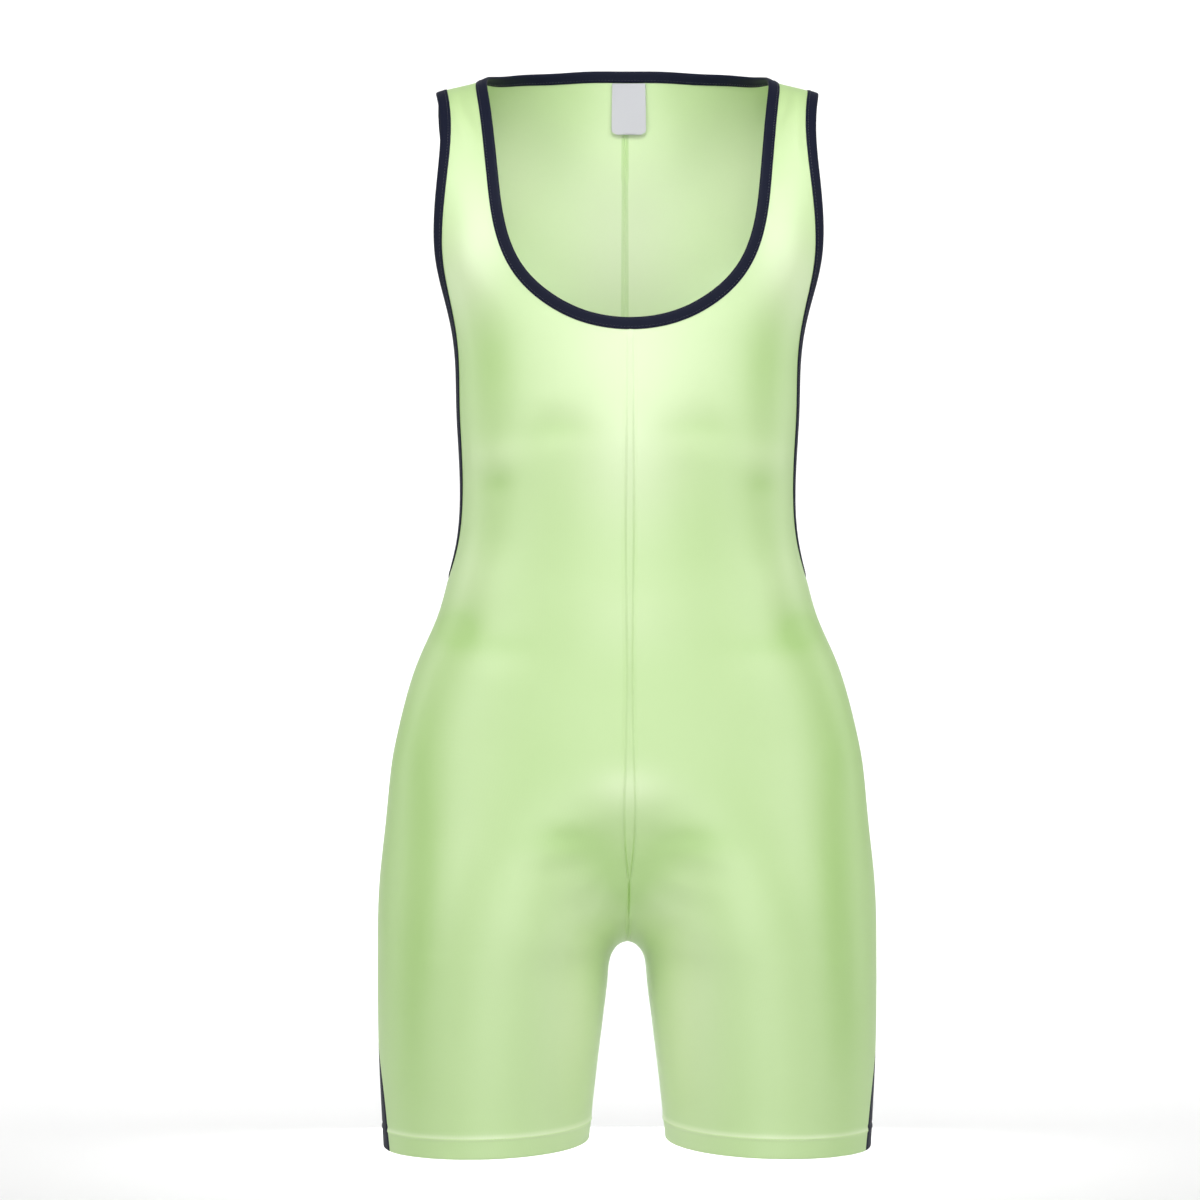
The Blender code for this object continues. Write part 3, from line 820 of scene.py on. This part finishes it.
def closed_wall(outside, inside, turns=FOLD_TURNS):
    """Points, faces and UVs of a thin closed shell whose lower edge is folded round."""
    middle = (outside[-1] + inside[-1]) / 2
    reach = outside[-1] - middle
    half = np.linalg.norm(reach, axis=1, keepdims=True)
    down = outside[-1] - outside[-3]
    down /= np.linalg.norm(down, axis=1, keepdims=True)
    angles = np.linspace(0, math.pi, turns + 2)[1:-1]
    fold = np.stack([middle + reach * math.cos(a) + down * half * math.sin(a) for a in angles])
    long = np.concatenate([outside, fold, inside[::-1]])
    rows, columns = long.shape[:2]
    index = np.arange(rows * columns).reshape(rows, columns)
    quads = np.stack([index[:-1, :-1], index[1:, :-1], index[1:, 1:], index[:-1, 1:]], axis=-1)
    faces = [tuple(quad) for quad in quads.reshape(-1, 4).tolist()]
    at = index.tolist()
    last = len(outside) - 1
    for i in range(last):
        near, far = rows - 1 - i, rows - 2 - i
        faces.append((at[i][0], at[near][0], at[far][0], at[i + 1][0]))
        faces.append((at[i][-1], at[i + 1][-1], at[far][-1], at[near][-1]))
    folded = at[last : last + turns + 2]
    faces.append(tuple(row[0] for row in reversed(folded)))
    faces.append(tuple(row[-1] for row in folded))
    for j in range(columns - 1):
        faces.append((at[0][j], at[0][j + 1], at[-1][j + 1], at[-1][j]))
    across = arc_from(long, True)
    down_rows = np.linalg.norm(np.diff(long, axis=0), axis=-1)
    along = np.concatenate([np.zeros((1, columns)), np.cumsum(down_rows, axis=0)])
    uv = np.stack([across, along], axis=-1).reshape(-1, 2) * MM
    return long.reshape(-1, 3), faces, uv


def closed_tube(rings):
    """Points, faces and UVs of a closed ring of cross-sections."""
    steps, around = rings.shape[:2]
    index = np.arange(steps * around).reshape(steps, around)
    ahead = np.roll(index, -1, axis=0)
    quads = np.stack([index, ahead, np.roll(ahead, -1, axis=1), np.roll(index, -1, axis=1)], axis=-1)
    faces = [tuple(quad) for quad in quads.reshape(-1, 4).tolist()]
    lengths = np.linalg.norm(np.diff(rings[:, 0], axis=0), axis=1)
    along = np.concatenate([[0], np.cumsum(lengths)])[:, None] * np.ones((1, around))
    girth = np.linalg.norm(np.diff(rings[0], axis=0), axis=1)
    across = np.concatenate([[0], np.cumsum(girth)])[None, :] * np.ones((steps, 1))
    uv = np.stack([across, along], axis=-1).reshape(-1, 2) * MM
    return rings.reshape(-1, 3), faces, uv


def linear(code):
    """An sRGB hex colour as linear RGBA."""
    channels = [int(code[i : i + 2], 16) / 255 for i in (1, 3, 5)]
    return (*[c / 12.92 if c <= 0.04045 else ((c + 0.055) / 1.055) ** 2.4 for c in channels], 1.0)


def node(tree, kind, settings=None, inputs=None, links=None):
    """Adds a shader node, sets its settings and inputs, and links other nodes' outputs into it."""
    made = tree.nodes.new(kind)
    for name, value in (settings or {}).items():
        setattr(made, name, value)
    for name, value in (inputs or {}).items():
        made.inputs[name].default_value = value
    for name, (source, output) in (links or {}).items():
        tree.links.new(source.outputs[output], made.inputs[name])
    return made


def blank_material(name):
    made = bpy.data.materials.new(name)
    made.use_nodes = True
    return made, made.node_tree.nodes["Principled BSDF"]


def shine(shader, roughness, specular=0.5, sheen=0.0, sheen_roughness=0.4, tint="#ffffff"):
    shader.inputs["Roughness"].default_value = roughness
    shader.inputs["Specular IOR Level"].default_value = specular
    shader.inputs["Sheen Weight"].default_value = sheen
    shader.inputs["Sheen Roughness"].default_value = sheen_roughness
    shader.inputs["Sheen Tint"].default_value = linear(tint)


# Colours of the jersey and its pale end, the binding and its sheen, the label, threads and floor
LIME = "#94c257"
# The pale end is reached by painted highlights, partly standing for stretch, and by random drift
LIME_PALE_AND_LIT = "#e2efc8"
NAVY = "#0b1024"
NAVY_SHEEN = "#6a7196"
LABEL_WHITE = "#bcbcc2"
LIME_THREAD = "#c2e98a"
NAVY_THREAD = "#14182c"
PALE = "#e6e6e6"

# The knit's wales and courses, about twice as coarse as the real ones, which are too fine for the render
WALE_SPACING = 1.2083
COURSE_SPACING = 0.952

# A wave texture has this many bands to the unit at scale 1
WAVE_BANDS = 20 / (2 * math.pi)

# How much the jersey's dye drifts towards the paler lime from place to place
DRIFT_PALER = 0.12


def wave_scale(spacing):
    """The wave texture's scale that sets its bands this many millimetres apart."""
    return 1 / (WAVE_BANDS * spacing * MM)


def warp_knit_jersey():
    """Lime nylon and elastane warp knit, heat set, with a satin gloss; painted highlights and painted shade
    pale or deepen its colour.
    """
    made, shader = blank_material("lime_warp_knit_jersey")
    tree = made.node_tree
    place = node(tree, "ShaderNodeTexCoord")
    wales, courses = (
        node(
            tree,
            "ShaderNodeTexWave",
            {"bands_direction": way},
            {"Scale": wave_scale(spacing), "Distortion": 0.6, "Detail": 1.0, "Detail Scale": 0.4},
            {"Vector": (place, "UV")},
        )
        for way, spacing in (("X", WALE_SPACING), ("Y", COURSE_SPACING))
    )
    knit = node(tree, "ShaderNodeMath", {"operation": "ADD"}, links={0: (wales, "Fac"), 1: (courses, "Fac")})
    drift = node(
        tree,
        "ShaderNodeTexNoise",
        inputs={"Scale": 9.0, "Detail": 2.0, "Roughness": 0.45},
        links={"Vector": (place, "Object")},
    )
    # This attribute carries painted highlights and painted shade, partly for stretch, into the colour
    painted_light_and_pull_node = node(tree, "ShaderNodeAttribute", {"attribute_name": "paleness"})
    drift_and_painted_light = node(
        tree,
        "ShaderNodeMath",
        {"operation": "MULTIPLY_ADD"},
        {1: DRIFT_PALER},
        {0: (drift, "Fac"), 2: (painted_light_and_pull_node, "Fac")},
    )
    colour = node(
        tree,
        "ShaderNodeMix",
        {"data_type": "RGBA"},
        {"A": linear(LIME), "B": linear(LIME_PALE_AND_LIT)},
        {"Factor": (drift_and_painted_light, "Value")},
    )
    bump = node(
        tree,
        "ShaderNodeBump",
        inputs={"Strength": 0.1, "Distance": 0.0002},
        links={"Height": (knit, "Value")},
    )
    tree.links.new(colour.outputs["Result"], shader.inputs["Base Color"])
    tree.links.new(bump.outputs["Normal"], shader.inputs["Normal"])
    shine(shader, roughness=0.47, specular=0.85)
    shader.inputs["IOR"].default_value = 2.1
    return made


def folded_binding():
    """Navy elastane binding, dyed and pressed: a dull fold that stays dark, with fine ribs along it."""
    made, shader = blank_material("navy_folded_elastane_binding")
    tree = made.node_tree
    place = node(tree, "ShaderNodeTexCoord")
    ribs = node(
        tree,
        "ShaderNodeTexWave",
        {"bands_direction": "X"},
        {"Scale": wave_scale(WALE_SPACING), "Distortion": 0.4, "Detail": 1.0},
        {"Vector": (place, "UV")},
    )
    bump = node(
        tree,
        "ShaderNodeBump",
        inputs={"Strength": 0.15, "Distance": 0.0002},
        links={"Height": (ribs, "Fac")},
    )
    tree.links.new(bump.outputs["Normal"], shader.inputs["Normal"])
    shader.inputs["Base Color"].default_value = linear(NAVY)
    shine(shader, roughness=0.6, specular=0.16, sheen=0.04, tint=NAVY_SHEEN)
    return made


def woven_satin():
    """White polyester satin, woven and heat cut: smooth, bright and slightly glossy."""
    made, shader = blank_material("white_woven_satin_label")
    shader.inputs["Base Color"].default_value = linear(LABEL_WHITE)
    shine(shader, roughness=0.4, sheen=0.1, sheen_roughness=0.3)
    return made


def spun_thread(name, code):
    """Textured polyester sewing thread, dyed: soft and slightly lustrous."""
    made, shader = blank_material(name)
    shader.inputs["Base Color"].default_value = linear(code)
    shine(shader, roughness=0.5, sheen=0.2)
    return made


# Edges sharper than this many degrees stay hard, and a stitch has none
HARD_EDGE = 50
NO_HARD_EDGE = 180


def make_piece(name, shape, finish, hard_edge=HARD_EDGE):
    """A mesh object in metres from points, faces and UVs, with its normals outward."""
    points, faces, uv = shape
    mesh = bpy.data.meshes.new(name)
    mesh.from_pydata((np.asarray(points) * MM).tolist(), [], faces)
    if signed_volume(points, faces) < 0:
        mesh.flip_normals()
    layer = mesh.uv_layers.new(name="cloth")
    corners = np.empty(len(mesh.loops), np.int32)
    mesh.loops.foreach_get("vertex_index", corners)
    layer.data.foreach_set("uv", uv[corners].reshape(-1).astype(np.float32))
    mesh.materials.append(finish)
    mesh.shade_smooth()
    mesh.set_sharp_from_angle(angle=math.radians(hard_edge))
    made = bpy.data.objects.new(name, mesh)
    bpy.context.scene.collection.objects.link(made)
    return made


def signed_volume(points, faces):
    """About the shell's volume, from its four-sided faces: below nought if they point inwards."""
    quads = np.array([face[:4] for face in faces if len(face) >= 4])
    a, b, c, d = (points[quads[:, k]] for k in range(4))
    return np.einsum("ij,ij->i", a, np.cross(b, c) + np.cross(c, d)).sum() / 6


def mirrored(points):
    return np.asarray(points) * (-1, 1, 1)


def wall_thickness(rows):
    """The cloth's thickness at each row: two layers where the hem is turned up."""
    thick = np.full(rows, CLOTH_THICK)
    thick[1 - len(HEM_ROWS) :] = HEM_THICK
    return thick


def cloth_wall(grid, away, relief):
    outside = grid + away * (CLOTH_THICK / 2 + relief[..., None])
    inside = outside - away * wall_thickness(len(grid))[:, None, None]
    return outside, inside


def panel_walls(neck, armhole):
    """Each panel's faces and their directions. The halves share a cut, but each has its own creases."""
    walls = {}
    for side, where in ((-1, "front"), (1, "back")):
        inner, outer = panel_edges(side, neck, armhole)
        cut = across_body(inner, outer, PANEL_ACROSS)
        for half, mirror in (("left", 1), ("right", -1)):
            grid = cut * (mirror, 1, 1)
            away = outward(grid)
            walls[f"{where}_{half}"] = (*cloth_wall(grid, away, panel_relief(side, grid, away)), away)
    return walls


def give_paleness(piece, outside, away):
    """Stores how pale each point of a panel's shell is coloured, from 0 to 1, the same on both faces, with
    painted highlights and painted shade in it.
    """
    # Painted highlights and painted shade, partly also paler where the cloth is pulled thin
    painted_light_and_pull = np.clip(REST_PALENESS + soft_spots(PAINTED_LIGHT_AND_STRETCH, outside, away), 0, 1)
    hem = outside[..., 2] - outside[-1:, :, 2]
    # Painted highlight along the hem's ridge
    hem_line = HEM_PAINTED_HIGHLIGHT * dip(hem - HEM_DEEP, HEM_LINE_WIDE)
    back_seam = (np.abs(outside[..., 0]) < BACK_SEAM_WIDE) & (away[..., 1] > 0.5)
    shown = np.clip(painted_light_and_pull + hem_line - BACK_SEAM_DEEPER * back_seam, 0, 1)
    fold = np.repeat(shown[-1:], FOLD_TURNS, axis=0)
    values = np.concatenate([shown, fold, shown[::-1]]).ravel().astype(np.float32)
    layer = piece.data.attributes.new("paleness", "FLOAT", "POINT")
    layer.data.foreach_set("value", values)


def make_panels(walls, finish):
    made = {}
    for name, (outside, inside, away) in walls.items():
        made[name] = make_piece(f"{name}_cloth", closed_wall(outside, inside), finish)
        give_paleness(made[name], outside, away)
    return made


def make_inserts(finish):
    """The navy gore let into each leg's side seam above the hem."""
    heights = side_heights(ARMHOLE_FOOT_Z)
    heights = heights[heights < INSERT_TOP_Z + APEX_MARGIN]
    share = np.linspace(-1, 1, INSERT_ACROSS + 1)
    half = insert["half_width"](heights) - SEAM_HALF_GAP
    depths = SIDE_SEAM_Y + half[:, None] * share
    levels = np.repeat(heights[:, None], len(share), axis=1)
    grid = onto_body(np.stack([np.full(depths.shape, GUESS_WIDE), depths, levels], axis=-1), level=True)
    away = outward(grid)
    from_edge = np.minimum(arc_from(grid, True), arc_from(grid, False))
    relief = hem_relief(np.clip(levels - heights[-1], 0, None)) - SEAM_DIP * dip(from_edge)
    outside, inside = cloth_wall(grid, away, relief)
    made = {}
    for half_name, mirror in (("left", 1), ("right", -1)):
        wall = closed_wall(outside * (mirror, 1, 1), inside * (mirror, 1, 1))
        made[f"side_insert_{half_name}"] = make_piece(f"side_insert_{half_name}_cloth", wall, finish)
    return made


# Outer face of the folded binding: distance from the opening's edge into the cloth, height over its middle
BINDING_FACE = (
    (8.95, 0.68),
    (9.0, 0.98),
    (8.7, 1.18),
    (7.6, 1.36),
    (5.8, 1.3),
    (4.4, 1.36),
    (2.4, 1.4),
    (1.0, 1.24),
    (0.25, 0.75),
)

# The whole section: the outer face, the fold, the inner face, and the slot that takes the cloth
BINDING_FOLD = ((0.0, 0.0),)
BINDING_SLOT = ((3.0, -0.64), (2.4, 0.0), (3.0, 0.64))
BINDING_BACK = tuple((into, -height) for into, height in reversed(BINDING_FACE))
BINDING = BINDING_FACE + BINDING_FOLD + BINDING_BACK + BINDING_SLOT


def binding_rings(rim):
    """The folded binding's sections round an opening; its middle is open to take the cloth."""
    lines = {}
    for into, _ in BINDING:
        if into not in lines:
            middle = rim.beside(into)[:-1]
            lines[into] = (middle, outward(middle))
    return np.stack([lines[into][0] + lines[into][1] * height for into, height in BINDING], axis=1)


def make_bindings(neck, armhole, finish):
    made = {"neck_tape": make_piece("neck_binding", closed_tube(binding_rings(neck)), finish)}
    rings = binding_rings(armhole)
    made["armhole_tape_left"] = make_piece("armhole_binding_left", closed_tube(rings), finish)
    made["armhole_tape_right"] = make_piece("armhole_binding_right", closed_tube(mirrored(rings)), finish)
    return made


def make_label(neck, finish):
    """The care label sewn under the back neck's binding: blank, with its lower corners cut round."""
    back_middle = FRONT_NECK_ROWS + BACK_NECK_ROWS
    top = neck.beside(BINDING_WIDE)[back_middle, 2] - LABEL_TUCK
    down = np.linspace(0, 1, LABEL_ROWS) * LABEL_LONG
    short = np.clip(down - (LABEL_LONG - LABEL_CORNER), 0, LABEL_CORNER)
    half = LABEL_WIDE / 2 - (LABEL_CORNER - np.sqrt(LABEL_CORNER**2 - short**2))
    aside = np.linspace(-1, 1, LABEL_ACROSS) * half[:, None]
    across = LABEL_OFF_CENTRE + aside
    levels = np.repeat((top - down)[:, None], across.shape[1], axis=1)
    grid = onto_body(np.stack([across, np.full(across.shape, GUESS_DEEP), levels], axis=-1), level=True)
    share = (down / LABEL_LONG)[:, None]
    wave = np.sin(LABEL_WAVES * aside / LABEL_WIDE + LABEL_WAVE_START)
    hang = LABEL_CLEAR + LABEL_CURL * share**2 + LABEL_SWAY * np.sin(math.pi * share) * wave
    away = outward(grid)
    face = grid - away * hang[..., None]
    return make_piece("care_label_satin", closed_wall(face, face - away * LABEL_THICK, turns=1), finish)


# Sewing thread and its stitches, and how far from the hem's fold or the opening each row runs
STITCH_RADIUS = 0.19
STITCH_AROUND = 4
STITCH_PITCH = 2.6
STITCH_LONG = 2.1
HEM_STITCH_LINE = 14.2
HEM_SEARCH_ROWS = 40
BINDING_STITCH_LINE = 7.0
BINDING_STITCH_HIGH = 1.36

# Sections along one stitch: share of its length, share of its thickness and height over the cloth
STITCH_SECTIONS = (
    (0.0, 0.25, -0.16),
    (0.16, 0.85, 0.04),
    (0.5, 1.0, 0.1),
    (0.84, 0.85, 0.04),
    (1.0, 0.25, -0.16),
)


def stitches(name, line, away, finish, closed=False):
    """A row of sewing stitches laid along a line of surface points, joined as one mesh."""
    if closed:
        line, away = np.concatenate([line, line[:1]]), np.concatenate([away, away[:1]])
    gone = np.concatenate([[0], np.cumsum(np.linalg.norm(np.diff(line, axis=0), axis=1))])
    count = max(1, round(gone[-1] / STITCH_PITCH))
    starts = (np.arange(count) + 0.5) * gone[-1] / count - STITCH_LONG / 2
    sections, sizes, lifts = np.array(STITCH_SECTIONS).T
    angles = np.arange(STITCH_AROUND) * 2 * math.pi / STITCH_AROUND + math.pi / 4
    points, faces = [], []
    for start in starts:
        at = start + sections * STITCH_LONG
        centre = np.stack([np.interp(at, gone, line[:, k]) for k in range(3)], axis=1)
        up = np.stack([np.interp(at, gone, away[:, k]) for k in range(3)], axis=1)
        run = centre[-1] - centre[0]
        run /= np.linalg.norm(run)
        beside = np.cross(run, up)
        centre = centre + up * lifts[:, None]
        base = len(points) * STITCH_AROUND
        for k in range(len(sections)):
            round_thread = np.cos(angles)[:, None] * beside[k] + np.sin(angles)[:, None] * up[k]
            points.append(centre[k] + STITCH_RADIUS * sizes[k] * round_thread)
        for k in range(len(sections) - 1):
            for j in range(STITCH_AROUND):
                here, there = base + k * STITCH_AROUND, base + (k + 1) * STITCH_AROUND
                beyond = (j + 1) % STITCH_AROUND
                faces.append((here + j, here + beyond, there + beyond, there + j))
        last = base + (len(sections) - 1) * STITCH_AROUND
        faces.append(tuple(base + j for j in range(STITCH_AROUND))[::-1])
        faces.append(tuple(last + j for j in range(STITCH_AROUND)))
    points = np.concatenate(points)
    return make_piece(name, (points, faces, points[:, :2] * MM), finish, NO_HARD_EDGE)


def hem_line(outside, away):
    """The line over a panel's outer face that the hem is sewn along, a set distance above the fold."""
    low, low_away = outside[-HEM_SEARCH_ROWS:], away[-HEM_SEARCH_ROWS:]
    rise = low[..., 2] - low[-1:, :, 2]
    line, up = [], []
    for j in range(low.shape[1]):
        order = np.argsort(rise[:, j])
        heights = rise[order, j]
        line.append([np.interp(HEM_STITCH_LINE, heights, low[order, j, k]) for k in range(3)])
        up.append([np.interp(HEM_STITCH_LINE, heights, low_away[order, j, k]) for k in range(3)])
    return np.array(line), np.array(up)


def make_sewing(walls, neck, armhole, lime, navy):
    """Hem stitches on each panel and the row that holds each binding down, inside and outside."""
    made = []
    for name, (outside, _, away) in walls.items():
        made.append(stitches(f"hem_stitches_{name}", *hem_line(outside, away), lime))
    rims = (("neck", neck, 1), ("armhole_left", armhole, 1), ("armhole_right", armhole, -1))
    for name, rim, mirror in rims:
        line = rim.beside(BINDING_STITCH_LINE)[:-1]
        up = outward(line)
        for face, way in (("outer", 1), ("inner", -1)):
            sewn = (line + up * way * BINDING_STITCH_HIGH) * (mirror, 1, 1)
            facing_out = up * way * (mirror, 1, 1)
            made.append(stitches(f"{name}_binding_stitches_{face}", sewn, facing_out, navy, closed=True))
    return made


# The floor and backdrop in metres: where the floor ends, where it starts to bend up and how high it goes
FLOOR_Z = -0.95
FLOOR_NEAR_Y = -5.0
BEND_Y = 2.1
BEND_RADIUS = 0.8
BACKDROP_HIGH = 5.0
STAGE_HALF_WIDE = 6.0
BEND_POINTS = 13


def make_stage():
    """A plain pale floor that curves up into a backdrop."""
    profile = [(FLOOR_NEAR_Y, FLOOR_Z)]
    for angle in np.linspace(0, math.pi / 2, BEND_POINTS):
        rise = BEND_RADIUS * (1 - math.cos(angle))
        profile.append((BEND_Y + BEND_RADIUS * math.sin(angle), FLOOR_Z + rise))
    profile.append((BEND_Y + BEND_RADIUS, FLOOR_Z + BACKDROP_HIGH))
    points = [(x, y, z) for y, z in profile for x in (-STAGE_HALF_WIDE, STAGE_HALF_WIDE)]
    faces = [(2 * i, 2 * i + 1, 2 * i + 3, 2 * i + 2) for i in range(len(profile) - 1)]
    mesh = bpy.data.meshes.new("studio_sweep")
    mesh.from_pydata(points, [], faces)
    made, shader = blank_material("matt_white_paper")
    shader.inputs["Base Color"].default_value = linear(PALE)
    shader.inputs["Roughness"].default_value = 0.9
    mesh.materials.append(made)
    mesh.shade_smooth()
    sweep = bpy.data.objects.new("studio_sweep", mesh)
    bpy.context.scene.collection.objects.link(sweep)


# Soft lights, left and right as the camera sees them: metres, watts, degrees of beam, share in the gloss
LIGHT_COLUMNS = ("name", "place", "aim", "wide", "high", "power", "beam", "gloss")
LIGHTS = (
    ("top", (0.0, -0.9, 0.75), (0.0, 0.0, -0.1), 0.6, 0.3, 10.0, 180, 0.7),
    ("left_top", (-1.1, -1.2, 0.5), (-0.1, 0.0, -0.15), 0.5, 0.5, 6.8, 180, 1.0),
    ("right_top", (1.1, -1.2, 0.5), (0.1, 0.0, -0.15), 0.5, 0.5, 6.8, 180, 1.0),
    ("left_side", (-1.5, -1.0, -0.3), (0.0, 0.0, -0.4), 0.4, 1.2, 3.4, 180, 0.5),
    ("right_side", (1.5, -1.0, -0.3), (0.0, 0.0, -0.4), 0.4, 1.2, 3.4, 180, 0.5),
    ("left_edge", (-1.8, 0.7, -0.2), (0.0, 0.0, -0.4), 0.3, 2.0, 5.5, 180, 0.0),
    ("right_edge", (1.8, 0.7, -0.2), (0.0, 0.0, -0.4), 0.3, 2.0, 5.5, 180, 0.0),
    ("low_fill", (0.0, -2.3, -0.7), (0.0, 0.0, -0.7), 1.6, 0.6, 9.2, 180, 1.0),
    ("leg_fill", (0.0, 1.0, -0.7), (0.0, 0.0, -0.7), 0.5, 0.5, 3.0, 180, 0.0),
    ("backdrop_wash", (0.0, 1.3, 2.1), (0.0, 2.6, -0.3), 3.8, 0.9, 50.0, 110, 1.0),
)
AIR_STRENGTH = 0.32


def make_lights():
    for row in LIGHTS:
        light = dict(zip(LIGHT_COLUMNS, row))
        data = bpy.data.lights.new(light["name"], "AREA")
        data.shape = "RECTANGLE"
        data.size, data.size_y = light["wide"], light["high"]
        data.energy = light["power"]
        data.spread = math.radians(light["beam"])
        data.specular_factor = light["gloss"]
        made = bpy.data.objects.new(light["name"], data)
        made.location = light["place"]
        made.rotation_euler = (Vector(light["aim"]) - made.location).to_track_quat("-Z", "Y").to_euler()
        made.visible_camera = False
        bpy.context.scene.collection.objects.link(made)


def make_air():
    """Faint even light from all round, and colours shown as they are."""
    world = bpy.data.worlds.new("studio_air")
    world.use_nodes = True
    background = world.node_tree.nodes["Background"]
    background.inputs["Color"].default_value = (1.0, 1.0, 1.0, 1.0)
    background.inputs["Strength"].default_value = AIR_STRENGTH
    bpy.context.scene.world = world
    bpy.context.scene.view_settings.view_transform = "Standard"


# The camera looks level at the front, turned a little: degrees and metres, and the lens in millimetres
CAMERA_YAW = 0.6
CAMERA_AWAY = 2.5
CAMERA_SHIFT = 0.0207
CAMERA_Z = -0.389
LENS = 98.68
SENSOR_WIDE = 36.0


def make_camera():
    yaw = math.radians(CAMERA_YAW)
    look = Vector((math.sin(yaw), math.cos(yaw), 0))
    aside = Vector((math.cos(yaw), -math.sin(yaw), 0))
    data = bpy.data.cameras.new("photo_camera")
    data.lens = LENS
    data.sensor_width = SENSOR_WIDE
    data.dof.use_dof = False
    made = bpy.data.objects.new("photo_camera", data)
    made.location = Vector((0, 0, CAMERA_Z)) - look * CAMERA_AWAY - aside * CAMERA_SHIFT
    made.rotation_euler = look.to_track_quat("-Z", "Y").to_euler()
    bpy.context.scene.collection.objects.link(made)
    bpy.context.scene.camera = made


# Each sheet's cut: width and length in metres, the share of them that its cloth fills, and how it's held
SHEETS = {
    "front": (0.235, 0.845, 0.66, "stretched"),
    "back": (0.235, 0.845, 0.72, "stretched"),
    "side": (0.066, 0.085, 0.58, "stretched"),
    "care": (0.028, 0.042, 0.95, "hung"),
}


def dress_solids(pieces, sewing):
    """Each piece of cloth takes its solid's place, and the stitches go with them."""
    for cad_node, piece in pieces.items():
        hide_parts(cad_node)
        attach(piece, "root")
    for row in sewing:
        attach(row, "root")


def declare_sheets(pieces, sewing):
    """Gathers each sheet's stitches, and for the left front the bindings too, but does nothing with them."""
    bindings = [piece for cad_node, piece in pieces.items() if "tape" in cad_node]
    for cad_node, piece in pieces.items():
        where = cad_node.split("_")[0]
        if where in SHEETS:
            with_pieces = [row for row in sewing if cad_node in row.name]
            if cad_node == "front_left":
                with_pieces += bindings + [row for row in sewing if "binding" in row.name]


def main():
    jersey, binding, satin = warp_knit_jersey(), folded_binding(), woven_satin()
    lime = spun_thread("lime_polyester_thread", LIME_THREAD)
    navy = spun_thread("navy_polyester_thread", NAVY_THREAD)
    neck, armhole = neck_rim(), armhole_rim()
    walls = panel_walls(neck, armhole)
    pieces = {**make_panels(walls, jersey), **make_inserts(binding), **make_bindings(neck, armhole, binding)}
    pieces["care_label"] = make_label(neck, satin)
    sewing = make_sewing(walls, neck, armhole, lime, navy)
    dress_solids(pieces, sewing)
    declare_sheets(pieces, sewing)
    make_stage()
    make_lights()
    make_air()
    make_camera()


main()
